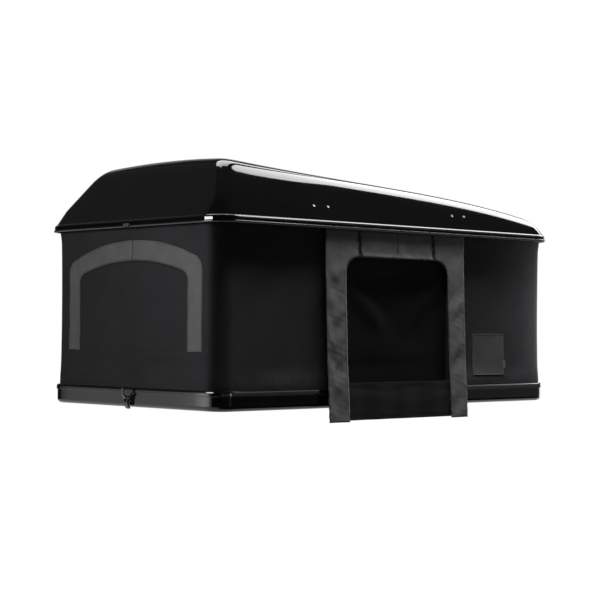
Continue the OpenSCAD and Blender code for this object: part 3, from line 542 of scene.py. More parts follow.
CORNER = WALL_R * math.pi / 2
STRAIGHT = WALL_HALF - WALL_R
BREAKS = np.cumsum([0, STRAIGHT[1], CORNER, 2 * STRAIGHT[0], CORNER, 2 * STRAIGHT[1], CORNER,
                    2 * STRAIGHT[0], CORNER, STRAIGHT[1]])
GIRTH = BREAKS[-1]
FAR_MID, TALL_MID, NEAR_MID = (BREAKS[2] + BREAKS[3]) / 2, GIRTH / 2, (BREAKS[6] + BREAKS[7]) / 2
# Shares of a half arch and of half a curtain where the leg ends and where the corner ends
ARCH_LEG, ARCH_BEND = 0.34, 0.44
CURTAIN_LEG, CURTAIN_BEND = 0.62, 0.74


def ease(low, high, v):
    """0 below low, 1 above high, and 3 t^2 - 2 t^3 between."""
    t = np.clip((v - low) / (high - low), 0, 1)
    return t * t * (3 - 2 * t)


def wave(v, length, phase=0.0):
    """Sine with a given length."""
    return np.sin(2 * math.pi * v / length + phase)


def ridge(x, z, start, end, width, height):
    """One soft fold: a bell across the line from start to end, fading out at both ends."""
    ax, az = start
    dx, dz = end[0] - ax, end[1] - az
    long = math.hypot(dx, dz)
    t = ((x - ax) * dx + (z - az) * dz) / long ** 2
    off = ((z - az) * dx - (x - ax) * dz) / long
    return height * np.exp(-(off / width) ** 2) * ease(-0.1, 0.25, t) * (1 - ease(0.7, 1.1, t))


def near_hems(w, width, reach):
    """1 at both edges of a strip, at shares w across its width, falling off over a distance reach."""
    return np.exp(-w * width / reach) + np.exp(-(1 - w) * width / reach)


def run_along(*coords):
    """Length along a line up to each of its points, from the points' coordinates."""
    return np.concatenate([[0], np.cumsum(np.sqrt(sum(np.diff(c) ** 2 for c in coords)))])


def both_halves(y, z):
    """A line from its foot to its middle, carried on down the other side, as (sideways, up)."""
    return np.concatenate([-y, y[..., -2::-1]], -1), np.concatenate([z, z[..., -2::-1]], -1)


def outward(a):
    """Angle of the tube's outward direction at arc length a."""
    return np.interp(np.mod(a, GIRTH), BREAKS, np.array([0, 0, 1, 1, 2, 2, 3, 3, 4, 4]) * math.pi / 2)


def tube(a, z, off):
    """Points of the wall's tube at arc length a (counter-clockwise from the middle of the low end), height z.

    The centre line and the outward angle change evenly with a between the corners; off moves points out.
    """
    sx, sy = STRAIGHT
    a = np.mod(a, GIRTH)
    cx = np.interp(a, BREAKS, [sx, sx, sx, -sx, -sx, -sx, -sx, sx, sx, sx])
    cy = np.interp(a, BREAKS, [0, sy, sy, sy, sy, -sy, -sy, -sy, -sy, 0])
    turn = outward(a)
    r = WALL_R + off
    return np.stack(np.broadcast_arrays(cx + r * np.cos(turn), cy + r * np.sin(turn), z), -1)


def from_middle(a):
    """Distances along the wall from the middle of the nearer door and of the nearer end."""
    near, far = a - NEAR_MID - DOOR_X, FAR_MID - a - DOOR_X
    door = np.where(np.abs(near) < np.abs(far), near, far)
    low = np.mod(a + GIRTH / 2, GIRTH) - GIRTH / 2
    end = np.where(np.abs(low) < np.abs(a - TALL_MID), low, a - TALL_MID)
    return door, end


def cloth_offset(a, z):
    """How far the wall's cloth stands out from its tube.

    Slanting waves on the long sides and gentle ones on the ends, less at the corners, a hollow between
    tray and roof, gathers under the lip and small ones over the tray. The waves and the hollow fade out
    where the tray, the roof and the openings hold the cloth.
    """
    a = np.mod(a, GIRTH)
    side = np.sin(outward(a)) ** 2
    slant = a - 0.85 * z
    calm = 1 - 0.7 * ease(0.48, 0.70, z)
    waves = side * calm * (0.0024 * wave(slant, 0.37, 1.3 * wave(slant, 1.13))
                           + 0.0005 * wave(slant + 0.2 * z, 0.151, 1.6 * wave(a, 0.57)))
    waves += (1 - side) * (0.0016 * wave(a, 0.29, 0.7 * wave(z, 0.52)) + 0.0007 * wave(a + 0.3 * z, 0.107))
    bends = (BREAKS[1:8:2] + BREAKS[2:9:2]) / 2
    corner = np.min(np.abs(a - bends.reshape(-1, *[1] * a.ndim)), axis=0)
    waves = waves * (1 - 0.8 * np.exp(-(corner / 0.11) ** 2))
    waves = waves - 0.003 * side * (1 - np.exp(-(corner / 0.2) ** 2))
    hollow = -0.0065 * np.sin(math.pi * np.clip((z - 0.1) / (LIP_Z - 0.1), 0, 1)) ** 0.4
    held = ease(0.102, 0.19, z) * (1 - ease(LIP_Z - 0.052, LIP_Z, z))
    uneven = 1.7 * wave(a, 0.31) + 1.1 * wave(a, 0.173, 0.6)
    lip = np.exp(-np.maximum(LIP_Z - z, 0) / 0.016) * (1 - ease(LIP_Z + 0.001, LIP_Z + 0.010, z))
    gathers = 0.0030 * lip * (0.62 + 0.38 * wave(a, 0.53, 1.3)) * wave(a, 0.047, uneven)
    foot = np.exp(-np.abs(z - 0.112) / 0.022) * ease(0.099, 0.108, z)
    gathers = gathers + 0.0011 * foot * wave(a, 0.039, 1.4 * uneven)
    door, end = from_middle(a)
    past_door = np.maximum.reduce([np.abs(door) - DOOR_HALF, z - DOOR_TOP, DOOR_SILL - z])
    past_window = np.maximum.reduce([np.abs(end) - WINDOW_HALF, z - HOOD_TOP + WINDOW_INSET, WINDOW_FOOT - z])
    clear = np.minimum(ease(0.0, 0.07, past_door), ease(0.0, 0.05, past_window))
    return (waves + hollow) * held * clear + gathers


def on_wall(a, z, lift):
    """Points on the wall's cloth at arc length a and height z, raised by lift."""
    return tube(a, z, cloth_offset(a, z) + lift)


def arch_line(inset, t):
    """Half of the window's arch, (sideways, up), at shares t from its foot to its apex.

    An upright leg, a tight corner arc and a long crown arc, all drawn in by inset.
    """
    half, apex, r, c = HOOD_HALF - inset, HOOD_TOP - inset, 1.240, np.maximum(0.066 - inset / 4, 0.010)
    o = apex - r
    corner_z = o + np.sqrt((r - c) ** 2 - (half - c) ** 2)
    b = np.arctan2(corner_z - o, half - c)
    k = np.clip((t - ARCH_LEG) / (ARCH_BEND - ARCH_LEG), 0, 1) * b
    w = b + np.clip((t - ARCH_BEND) / (1 - ARCH_BEND), 0, 1) * (math.pi / 2 - b)
    up = np.clip(t / ARCH_LEG, 0, 1)
    in_leg, in_bend = t < ARCH_LEG, t < ARCH_BEND
    y = np.where(in_leg, half, np.where(in_bend, half - c + c * np.cos(k), r * np.cos(w)))
    z = np.where(in_leg, WINDOW_FOOT + (corner_z - WINDOW_FOOT) * up,
                 np.where(in_bend, corner_z + c * np.sin(k), o + r * np.sin(w)))
    return y, z


def arch_height(y, inset):
    """Height of the arch over a sideways distance y."""
    ys, zs = arch_line(inset, np.linspace(ARCH_LEG, 1, 400))
    return np.interp(np.abs(y), ys[::-1], zs[::-1])


def sheet_piece(name, grid, toward, finish, flat, thick):
    """Sheet from a grid of points, its faces turned to look along toward, its thickness behind them.

    flat holds the two coordinates of each point on the cloth, for the weave.
    """
    faces = grid_faces(*grid.shape[:2])
    across = np.cross(grid[:-1, 1:] - grid[:-1, :-1], grid[1:, :-1] - grid[:-1, :-1]).reshape(-1, 3).sum(0)
    if across @ np.asarray(toward, float) < 0:
        faces = faces[:, ::-1]
    uv = np.stack(np.broadcast_arrays(*flat), -1).reshape(-1, 2)
    return thicken(piece(name, grid, faces, FINISH[finish], uv), thick)


def stitches(name, path, out, pitch=0.0075, length=0.0052, r=0.00055):
    """Row of stitches along a path: four-sided spindles, thick in the middle, lying on the side out."""
    path, out = np.asarray(path, float), np.asarray(out, float)
    along = run_along(*path.T)
    marks = np.arange(pitch / 2, along[-1], pitch)

    def at(values, s):
        return np.stack([np.interp(s, along, values[:, i]) for i in range(3)], -1)

    ahead = at(path, marks + length / 2) - at(path, marks - length / 2)
    ahead /= np.linalg.norm(ahead, axis=1)[:, None]
    rise = at(np.broadcast_to(out, path.shape), marks)
    rise /= np.linalg.norm(rise, axis=1)[:, None]
    side = np.cross(rise, ahead)
    step = np.array([-0.5, -0.3, 0.3, 0.5]) * length
    girth = np.array([0.2, 1.0, 1.0, 0.2]) * r
    turn = np.arange(4) * math.pi / 2
    ring = (np.cos(turn)[:, None] * side[:, None, None, :] + np.sin(turn)[:, None] * rise[:, None, None, :])
    points = (at(path, marks)[:, None, None, :] + step[:, None, None] * ahead[:, None, None, :]
              + girth[:, None, None] * ring + 0.3 * r * rise[:, None, None, :])
    one = np.concatenate([grid_faces(4, 4, wrap=True), [[3, 2, 1, 0], [12, 13, 14, 15]]])
    faces = (np.arange(len(marks))[:, None, None] * 16 + one).reshape(-1, 4)
    uv = np.tile(np.stack(np.meshgrid(np.arange(4) * 0.0005, step), -1).reshape(-1, 2), (len(marks), 1))
    return piece(name, points, faces, FINISH["thread"], uv)


def on_base(obj):
    """Fabric on the tray's side: rides the base, with a mesh of its own."""
    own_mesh(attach(obj, "base"))
    return obj


def on_curtain(obj, name):
    """Fabric of a door curtain: rides it, with a mesh of its own."""
    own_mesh(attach(obj, name + "_curtain"))
    return obj


# ---- tent wall

def wall_columns():
    """Arc lengths of the wall's columns with the top line of the openings over each.

    Columns stand on both sides of each door and window and close together round their top corners.
    """
    flat = DOOR_HALF - DOOR_R
    bend = np.sin(np.radians(np.arange(0, 91, 11.25)))
    half = np.concatenate([np.linspace(0, flat, 30)[:-1], flat + DOOR_R * bend])
    drop = np.maximum(half - flat, 0)
    top = DOOR_TOP - DOOR_R + np.sqrt(np.maximum(DOOR_R ** 2 - drop ** 2, 0))
    y, z = arch_line(WINDOW_INSET, np.concatenate([np.linspace(ARCH_LEG, ARCH_BEND, 8),
                                                   np.linspace(ARCH_BEND, 1, 40)[1:]]))
    y[-1] = 0
    marks = np.concatenate([NEAR_MID + DOOR_X + half, NEAR_MID + DOOR_X - half[1:],
                            FAR_MID - DOOR_X + half, FAR_MID - DOOR_X - half[1:],
                            TALL_MID + y, TALL_MID - y[:-1], y, GIRTH - y[:-1]])
    tops = np.concatenate([top, top[1:], top, top[1:], z, z[:-1], z, z[:-1]])
    order = np.argsort(marks)
    marks, tops = marks[order], tops[order]
    stops = np.unique(np.round(np.concatenate([marks, BREAKS[1:-1], [GIRTH]]), 7))
    a = np.concatenate([np.linspace(p, q, max(2, math.ceil((q - p) / 0.0092) + 1))[:-1]
                        for p, q in zip(stops, stops[1:])])
    return a, np.interp(a, marks, tops, period=GIRTH)


def build_wall():
    """Tent wall: one tube of cloth with two doorways and two window openings left out of its grid.

    Rows go from the foot to the sill, the window's foot, the openings' top line, the lip and the top edge.
    """
    a, top = wall_columns()
    n = len(a)
    keys = np.stack(np.broadcast_arrays(WALL_FOOT, DOOR_SILL, WINDOW_FOOT, top, LIP_Z, WALL_TOP))
    counts = (4, 10, 17, 15, 4)
    shares = [np.arange(c) / c for c in counts]
    shares[3] = 1 - (1 - shares[3]) ** 1.7
    parts = [keys[i] + (keys[i + 1] - keys[i]) * share[:, None] for i, share in enumerate(shares)]
    z = np.concatenate(parts + [keys[5:]])
    rows = len(z)
    around = np.broadcast_to(a, z.shape)
    points = on_wall(around, z, 0.0)
    faces = grid_faces(rows, n, wrap=True)
    middle = np.mod(a + np.diff(np.concatenate([a, [GIRTH]])) / 2, GIRTH)
    door, end = from_middle(middle)
    row = np.repeat(np.arange(rows - 1), n)
    sill, foot, head = counts[0], counts[0] + counts[1], sum(counts[:3])
    open_door = np.tile(np.abs(door) < DOOR_HALF, rows - 1) & (row >= sill) & (row < head)
    open_window = np.tile(np.abs(end) < WINDOW_HALF, rows - 1) & (row >= foot) & (row < head)
    faces = faces[~(open_door | open_window)]
    uv = np.stack([around, z], -1).reshape(-1, 2)[faces]
    wrapped = np.ptp(uv[..., 0], axis=1) > GIRTH / 2
    uv[wrapped, :, 0] += GIRTH * (uv[wrapped, :, 0] < GIRTH / 2)
    used, back = np.unique(faces, return_inverse=True)
    wall = piece("tent_wall_cloth", points.reshape(-1, 3)[used], back.reshape(-1, 4), FINISH["wall_cloth"],
                 uv.reshape(-1, 2))
    thicken(wall, WALL_T)
    on_base(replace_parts(wall, "tent_wall"))


build_wall()


# ---- windows

def end_place(end, y):
    """Arc length at a sideways distance y from the middle of the tall or low end, seen from outside."""
    return TALL_MID + y if end == "tall" else y


def window_panel(end, out):
    """Window panel: laps behind the opening and is slack in its middle."""
    y = np.linspace(-1, 1, 81)[None, :] * (WINDOW_HALF + PANEL_LAP)
    head = arch_height(np.clip(y, -WINDOW_HALF, WINDOW_HALF), WINDOW_INSET) + PANEL_LAP
    z = WINDOW_FOOT - PANEL_LAP + (head - WINDOW_FOOT + PANEL_LAP) * np.linspace(0, 1, 49)[:, None]
    edge = np.minimum(WINDOW_HALF - np.abs(y), np.minimum(head - PANEL_LAP - z, z - WINDOW_FOOT))
    slack = ease(0.0, 0.16, edge)
    off = -0.0015 + 0.0012 * ease(-0.006, 0.002, edge)
    off = off - slack * (0.004 + 0.0022 * wave(y + 0.35 * z, 0.27, 0.5) + 0.0009 * wave(y - 0.2 * z, 0.11))
    a = end_place(end, y) + 0 * z
    panel = sheet_piece(end + "_window_cloth", tube(a, z, off), out, "wall_cloth", (a, z), PANEL_T)
    on_base(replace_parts(panel, end + "_window_panel"))


def window_hood(end, out):
    """Strip sewn round the window on the wall's cloth, with rows of stitches and a seam at its apex."""
    t = np.concatenate([np.linspace(0, ARCH_LEG, 52)[:-1], np.linspace(ARCH_LEG, ARCH_BEND, 13)[:-1],
                        np.linspace(ARCH_BEND, 1, 66)])
    inset = (HOOD_W * np.linspace(0, 1, 13))[:, None]
    y, z = both_halves(*arch_line(inset, t[None, :]))
    run = run_along(y[6], z[6])
    w = inset / HOOD_W
    lift = 0.0014 + 0.0016 * np.sin(math.pi * w) ** 0.6 + 0.0007 * wave(run, 0.143, 2.0 * np.sin(math.pi * w))
    lift = lift + 0.0004 * near_hems(w, HOOD_W, 0.010) * wave(run, 0.0225, 0.9 * wave(run, 0.31))
    middle = run - run[-1] / 2 - 0.004 * np.sin(5 * w)
    lift = lift - 0.0011 * np.exp(-(middle / 0.0035) ** 2)
    hood = sheet_piece(end + "_hood_strip", on_wall(end_place(end, y), z, lift), out, "grey_cloth",
                       (run, inset), HOOD_T)
    on_base(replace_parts(hood, end + "_window_hood"))
    rows = []
    for k, d in enumerate((0.006, HOOD_W - 0.006)):
        y, z = both_halves(*arch_line(np.array(d), t))
        rows.append(stitches(f"{end}_hood_stitches_{k}", on_wall(end_place(end, y), z, 0.0026), out))
    for label, s in (("left", -1), ("right", 1)):
        y = s * (HOOD_HALF - np.linspace(0.004, HOOD_W - 0.004, 12))
        z = np.full(12, WINDOW_FOOT + 0.009)
        rows.append(stitches(f"{end}_hood_foot_{label}", on_wall(end_place(end, y), z, 0.0028), out))
    w = np.linspace(0.01, 0.99, 26)
    y = 0.004 * np.sin(5 * w)[:, None] + np.array([-0.0011, 0.0011])
    z = (HOOD_TOP - HOOD_W * w)[:, None] + 0 * y
    seam = sheet_piece(end + "_hood_seam", on_wall(end_place(end, y), z, 0.0027), out, "webbing",
                       (y, z), SEAM_T)
    for part in rows:
        on_base(part)
    on_base(seam)


for which, facing_out in (("tall", (-1, 0, 0)), ("low", (1, 0, 0))):
    window_panel(which, facing_out)
    window_hood(which, facing_out)


# ---- doors

LEG_FLARE = 0.010


def side_points(s, x, y, z):
    """Points y metres out from the middle on the near (s -1) or far (s 1) long side."""
    return np.stack(np.broadcast_arrays(x, s * y, z), -1)


def side_sheet(name, s, x, y, z, finish, thick):
    """Sheet on a long side that looks outward."""
    return sheet_piece(name, side_points(s, x, y, z), (0, s, 0), finish, (x, z), thick)


def door_folds(u, w):
    """Folds of the door panel over shares u across and w up: ridges from the top corners and low down."""
    f = 0.0008 * wave(u + 0.5 * w, 0.83, 1.0) + 0.0003 * wave(u - 0.8 * w, 0.37, 2.0)
    for start, end, width, height in (
            ((-1.0, 0.90), (-0.15, 0.44), 0.10, 0.0085), ((-0.85, 0.97), (0.05, 0.50), 0.09, -0.0060),
            ((1.0, 0.92), (0.12, 0.40), 0.13, 0.0070), ((0.9, 0.75), (0.25, 0.30), 0.10, -0.0050),
            ((-0.75, 0.80), (0.75, 0.84), 0.10, -0.0060), ((-0.9, 0.30), (0.8, 0.22), 0.11, 0.0040),
            ((-0.7, 0.06), (0.9, 0.10), 0.06, 0.0030)):
        f = f + ridge(u, w, start, end, width, height)
    return f


def hang_out(x, z):
    """How far the hanging door curtain stands out: it leans and folds more towards its foot."""
    t = np.maximum(0, (CURTAIN_TOP - z) / (CURTAIN_TOP - CURTAIN_FOOT))
    return HINGE_Y + 0.030 * t * t + 0.005 * t * (wave(x - DOOR_X, 0.175) + 0.8 * wave(z, 0.290)) / 3.0


def curtain_line(t, end):
    """Outer and inner edge of the curtain's left half at shares t from the foot to the middle of its header.

    The outer edge turns square at the top, the inner one on the doorway's rounded corner.
    """
    cx, cz = CURTAIN_IN - DOOR_R, DOOR_TOP - DOOR_R
    in_leg, in_bend = t < CURTAIN_LEG, t < CURTAIN_BEND
    k = np.clip((t - CURTAIN_LEG) / (CURTAIN_BEND - CURTAIN_LEG), 0, 1)
    rising = end + (cz - end) * np.clip(t / CURTAIN_LEG, 0, 1)
    header = cx * (1 - np.clip((t - CURTAIN_BEND) / (1 - CURTAIN_BEND), 0, 1))
    wide, high = CURTAIN_OUT - cx, CURTAIN_TOP - cz
    turn = k * math.pi / 2
    split = high / (wide + high)
    square = CURTAIN_OUT - wide * np.clip((k - split) / (1 - split), 0, 1)
    ox = np.where(in_leg, CURTAIN_OUT, np.where(in_bend, square, header))
    oz = np.where(in_leg, rising, np.where(in_bend, cz + high * np.clip(k / split, 0, 1), CURTAIN_TOP))
    ix = np.where(in_leg, CURTAIN_IN, np.where(in_bend, cx + DOOR_R * np.cos(turn), header))
    iz = np.where(in_leg, rising, np.where(in_bend, cz + DOOR_R * np.sin(turn), DOOR_TOP))
    return np.stack([ox, oz], -1), np.stack([ix, iz], -1)


def curtain_wrinkles(x, z, run, w):
    """Wrinkles of the curtain strip: dents, creases, puckered hems, header's turned hem, pinches, seam."""
    free = ease(0.0, 0.05, CURTAIN_TOP - z)
    inner = np.sin(math.pi * np.clip(w, 0, 1)) ** 0.7
    calm = 1 - 0.65 * ease(0.60, 0.67, z)
    dents = 0.0019 * wave(z + 0.3 * x, 0.165, 2.2 * wave(x, 0.23)) + 0.0010 * wave(z - 0.7 * x, 0.097, 1.1)
    creases = 0.0003 * wave(z + 0.5 * x, 0.041, 2.0 * wave(z, 0.13))
    puckers = 0.0011 * near_hems(w, STRIP_W, 0.009) * wave(run, 0.043, 1.5 * wave(run, 0.37))
    over = np.abs(x - DOOR_X)
    flare = (0.0030 + 0.0016 * wave(x, 0.045, 2.0 * wave(x, 0.13))) * (1 - ease(0.667, 0.692, z))
    flare = flare * ease(0.60, 0.666, z) * (1 - ease(0.22, 0.30, over))
    pinch = -0.0022 * np.exp(-((over - TIE_X) / 0.016) ** 2) * ease(0.655, 0.675, z)
    seam = -0.0012 * np.exp(-((x - DOOR_X) / 0.005) ** 2) * ease(0.66, 0.67, z)
    return free * (inner * calm * dents + creases + puckers) + flare + pinch + seam


def curtain_face(x, z, run, w):
    """How far out the curtain's outer face stands: its hang, a tuck across its header, and wrinkles."""
    t = CURTAIN_TOP - z
    tuck = -0.0020 * ease(0.012, 0.10, t) * (1 - ease(0.12, 0.26, t))
    return hang_out(x, z) + 0.0004 + 0.0018 * ease(0.010, 0.05, t) + tuck + curtain_wrinkles(x, z, run, w)


def door_panel(name, s):
    """Door panel, lapped behind the doorway's edges and folded between them."""
    u = np.linspace(-1, 1, 91)[None, :]
    w = np.linspace(-0.03, 1.03, 81)[:, None]
    x = DOOR_X + u * (DOOR_HALF + PANEL_LAP) + 0 * w
    z = DOOR_SILL + (DOOR_TOP - DOOR_SILL) * w + 0 * u
    edge = np.minimum(DOOR_HALF - np.abs(x - DOOR_X), np.minimum(DOOR_TOP - z, z - DOOR_SILL))
    y = 0.5850 + ease(-0.004, 0.09, edge) * (door_folds(u, w) - 0.006)
    # The darker panel_cloth is partly the panel's finer black cloth and partly painted shade of the recessed
    # doorway.
    panel = side_sheet(name + "_door_cloth", s, x, y, z, "panel_cloth", PANEL_T)
    on_base(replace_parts(panel, name + "_door_panel"))


def door_curtain(name, s):
    """Hanging curtain frame with its stitches, the seam down its header and two ties over the header."""
    t = np.concatenate([np.linspace(0, CURTAIN_LEG, 96)[:-1], np.linspace(CURTAIN_LEG, CURTAIN_BEND, 25)[:-1],
                        np.linspace(CURTAIN_BEND, 1, 40)])
    end = CURTAIN_ENDS[name]
    outer, inner = curtain_line(t, end)
    outer = np.concatenate([outer * (-1, 1), outer[-2::-1]])
    inner = np.concatenate([inner * (-1, 1), inner[-2::-1] * (1 + LEG_FLARE / CURTAIN_IN, 1)])
    run = run_along(*((outer + inner) / 2).T)
    w = np.linspace(0, 1, 19)[:, None]
    x = DOOR_X + outer[:, 0] + (inner[:, 0] - outer[:, 0]) * w
    z = outer[:, 1] + (inner[:, 1] - outer[:, 1]) * w
    y = curtain_face(x, z, run, w)
    curtain = side_sheet(name + "_curtain_cloth", s, x, y, z, "grey_cloth", CURTAIN_T)
    on_curtain(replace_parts(curtain, name + "_door_curtain"), name)
    for k, share in enumerate((0.06, 0.94)):
        line = outer + (inner - outer) * share
        x, z = DOOR_X + line[:, 0], line[:, 1]
        path = side_points(s, x, curtain_face(x, z, run, share) + 0.0001, z)
        on_curtain(stitches(f"{name}_curtain_stitches_{k}", path, (0, s, 0)), name)
    z = np.linspace(0.674, 0.782, 30)[:, None]
    x = DOOR_X + np.array([-0.0014, 0.0014]) + 0.0016 * wave(z, 0.07)
    y = curtain_face(x, z, 0.0, 0.5) + 0.0004
    seam = on_curtain(side_sheet(name + "_header_seam", s, x, y, z, "webbing", SEAM_T), name)
    # ties: wavy, and gathered at their lower ends
    ties = []
    q = np.linspace(0, 1, 41)[:, None]
    z = 0.6705 + 0.1110 * q
    loose = ease(0.012, 0.03, CURTAIN_TOP - z)
    for k, at in enumerate((-TIE_X, TIE_X)):
        waist = 0.0098 - 0.0030 * q + 0.0020 * wave(q, 0.31, k)
        lean = 0.010 * (0.5 - q) + 0.0028 * wave(q, 0.37, 1.3 * k) * (1 - 0.6 * q)
        x = DOOR_X + at + lean + waist * np.linspace(-1, 1, 7)
        y = curtain_face(x, z, 0.0, 0.5) + 0.0011
        y = y + loose * (0.0016 + 0.0012 * wave(x, 0.011, 3 * q) + 0.0008 * wave(q, 0.23, 2.0 * k))
        ties.append(on_curtain(side_sheet(f"{name}_tie_{k}", s, x, y, z, "webbing", TIE_T), name))
    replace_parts(ties[0], name + "_door_straps")


def door_skirt(name, s):
    """Skirt between the curtain's legs: a few level folds, and two rows of stitches over its hem."""
    half, foot = CURTAIN_IN + 0.020, CURTAIN_ENDS[name] + 0.006
    p = np.linspace(-1, 1, 121)[None, :]
    q = np.linspace(0, 1, 61)[:, None]
    x = DOOR_X + half * p + 0 * q
    z = foot + (SKIRT_TOP - foot) * q + 0 * p
    free = ease(0.0, 0.09, 1 - np.abs(p))
    folds = 0.0030 * np.exp(-((q - 0.80 - 0.05 * wave(x, 0.37)) / 0.09) ** 2)
    folds = folds * (0.6 + 0.4 * wave(x, 0.29, 0.7))
    folds = folds - 0.0016 * np.exp(-((q - 0.52 + 0.10 * wave(x, 0.61, 1.0)) / 0.13) ** 2)
    folds = folds + 0.0010 * wave(x + 0.3 * z, 0.33, 0.5)
    folds = folds + 0.0003 * wave(x - 1.4 * z, 0.094, 1.2 * wave(x, 0.4))
    y = hang_out(x, z) - 0.0022 - free * (0.0026 + 0.6 * folds * ease(-0.02, 0.14, q))
    skirt = side_sheet(name + "_skirt_cloth", s, x, y, z, "skirt_cloth", SKIRT_T)
    on_curtain(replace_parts(skirt, name + "_door_skirt"), name)
    for k, lift in enumerate((0.020, 0.026)):
        i = round(lift / (SKIRT_TOP - foot) * 60)
        path = side_points(s, x[i], y[i] + 0.0002, z[i])[4:-4]
        on_curtain(stitches(f"{name}_skirt_stitches_{k}", path, (0, s, 0)), name)


for which, sign in (("near", -1), ("far", 1)):
    door_panel(which, sign)
    door_curtain(which, sign)
    door_skirt(which, sign)


# ---- patch on the near wall

def build_patch():
    """Plain sewn patch with a welted edge and a small pull tab."""
    out = (0, -1, 0)
    u, w = np.linspace(-1, 1, 61)[None, :], np.linspace(-1, 1, 81)[:, None]
    x, z = PATCH_X + PATCH_HALF[0] * u + 0 * w, PATCH_Z + PATCH_HALF[1] * w + 0 * u
    lift = 0.0013 + 0.0005 * wave(x + 0.4 * z, 0.13) * (1 - u * u) * (1 - w * w)
    patch = sheet_piece("patch_cloth", on_wall(NEAR_MID + x, z, lift), out, "patch_cloth", (x, z), PATCH_T)
    on_base(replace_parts(patch, "wall_patch"))
    line = outline(PATCH_HALF, 0.004, (40, 36, 4))
    a = np.linspace(0, 2 * math.pi, 9)[:-1]
    away = line / np.linalg.norm(line, axis=1)[:, None]
    x = PATCH_X + line[:, :1] + 0.0013 * np.cos(a) * away[:, :1]
    z = PATCH_Z + line[:, 1:] + 0.0013 * np.cos(a) * away[:, 1:]
    n = len(line)
    i, j = np.arange(n)[:, None], np.arange(8)
    faces = np.stack([i * 8 + j, (i + 1) % n * 8 + j, (i + 1) % n * 8 + (j + 1) % 8, i * 8 + (j + 1) % 8], -1)
    welt = piece("patch_welt", on_wall(NEAR_MID + x, z, 0.0014 + 0.0011 * np.sin(a)), faces.reshape(-1, 4),
                 FINISH["welt_cloth"], np.stack([x, z], -1).reshape(-1, 2))
    u, w = np.linspace(0, 1, 9)[None, :], np.linspace(-1, 1, 15)[:, None]
    x, z = 0.7342 + 0.0125 * u + 0 * w, 0.192 + 0.0185 * w * (1 - 0.12 * u ** 3)
    tab = sheet_piece("patch_tab", on_wall(NEAR_MID + x, z, 0.0020 + 0.0015 * u * u), out, "welt_cloth",
                      (x, z), TAB_T)
    on_base(welt)
    on_base(tab)


build_patch()


# ---- mattress

def build_mattress():
    """Foam mattress: a pad with bulging sides, a crowned top and sewn channels across it."""
    low, high = (np.array(v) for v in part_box("mattress"))
    half, foot, top = (high - low)[:2] / 2, low[2], high[2]
    tall, bulge, channel_gap = top - foot, 0.018, 0.234
    a = np.linspace(-math.pi / 2, math.pi / 2, 15)
    side = np.column_stack([bulge * (1 - np.cos(a) ** 0.7), foot + tall * (0.5 + 0.42 * np.sin(a))])
    inset = np.concatenate([np.linspace(bulge, 0.09, 8)[1:], np.linspace(0.09, half[1] - 0.01, 26)[1:]])

    def level(d, z):
        p = outline(half - d, max(0.07 - d, 0.008), (60, 36, 10))
        return np.column_stack([p, np.full(len(p), z)])

    rings = [level(d, foot + 0.08 * tall * (bulge / d) ** 2) for d in inset[::-1]]
    rings += [level(d, z) for d, z in side]
    for d in inset:
        ring = level(d, top - 0.08 * tall * (bulge / d) ** 1.2)
        across = np.mod(ring[:, 0] + channel_gap / 2, channel_gap) - channel_gap / 2
        ring[:, 2] -= 0.006 * np.exp(-(across / 0.016) ** 2) * ease(bulge, 0.07, d)
        rings.append(ring)
    pad = shell("mattress_pad", rings, FINISH["mattress_cloth"], np.concatenate(rings)[:, :2])
    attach(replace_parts(pad, "mattress"), "base")


build_mattress()


# ---- camera

def place_camera():
    """Camera of the photograph, solved from the edges of the lip, flange and walls."""
    data = bpy.data.cameras.new("camera")
    data.lens, data.sensor_width = 99.85, 36
    data.clip_end = 400
    camera = bpy.data.objects.new("camera", data)
    right, up, forward = (0.7339, -0.6792, 0.0062), (-0.0165, -0.0087, 0.9998), (0.6791, 0.7339, 0.0176)
    turn = Matrix((right, up, [-v for v in forward])).transposed().to_4x4()
    camera.matrix_world = Matrix.Translation((-5.3935, -5.773, 0.352)) @ turn
    bpy.context.scene.collection.objects.link(camera)
    bpy.context.scene.camera = camera


place_camera()


# ---- stage and light

def glow(name, strength):
    """White emitting material."""
    mat = bpy.data.materials.new(name)
    mat.use_nodes = True
    tree = mat.node_tree
    tree.nodes.clear()
    light = fill(tree.nodes.new("ShaderNodeEmission"), {"Color": (1, 1, 1, 1), "Strength": strength})
    out = tree.nodes.new("ShaderNodeOutputMaterial")
    tree.links.new(light.outputs[0], out.inputs[0])
    return mat


def hide_from(obj, *rays):
    """Hides a piece of the stage from the named kinds of ray, and from transmitted and scattered ones."""
    for ray in (*rays, "transmission", "volume_scatter"):
        setattr(obj, "visible_" + ray, False)


def card(name, points, strength):
    """Studio card over a grid of points that shows only in reflections."""
    obj = piece(name, points, grid_faces(*points.shape[:2]), glow(name, strength))
    hide_from(obj, "camera", "diffuse", "shadow")


def round_card(name, around, low, high, strength, reach):
    """Part of a sphere of radius reach between two elevations, over angles round the tent, in degrees."""
    w = np.radians(around)
    up = np.radians(low + (high - low) * np.linspace(0, 1, 14)[:, None]) + 0 * w
    card(name, reach * np.stack([np.cos(up) * np.cos(w), np.cos(up) * np.sin(w), np.sin(up)], -1), strength)


def level_card(name, edges, height, strength):
    """Level card between two lines, given as rows of x, near y, far y."""
    x, near, far = np.array(edges, float).T
    t = np.linspace(0, 1, 5)[:, None]
    card(name, np.stack([x + 0 * t, near * (1 - t) + far * t, np.full((5, len(x)), height)], -1), strength)


def curved_card(name, angles, heights, strength, r):
    """Upright card on part of a circle round the near corner of the tall end, over angles in degrees."""
    w = np.radians(np.linspace(*angles, 13))
    z = np.linspace(*heights, 5)[:, None]
    x, y = -1.06 + r * np.cos(w), -0.55 + r * np.sin(w)
    card(name, np.stack(np.broadcast_arrays(x, y, z), -1), strength)


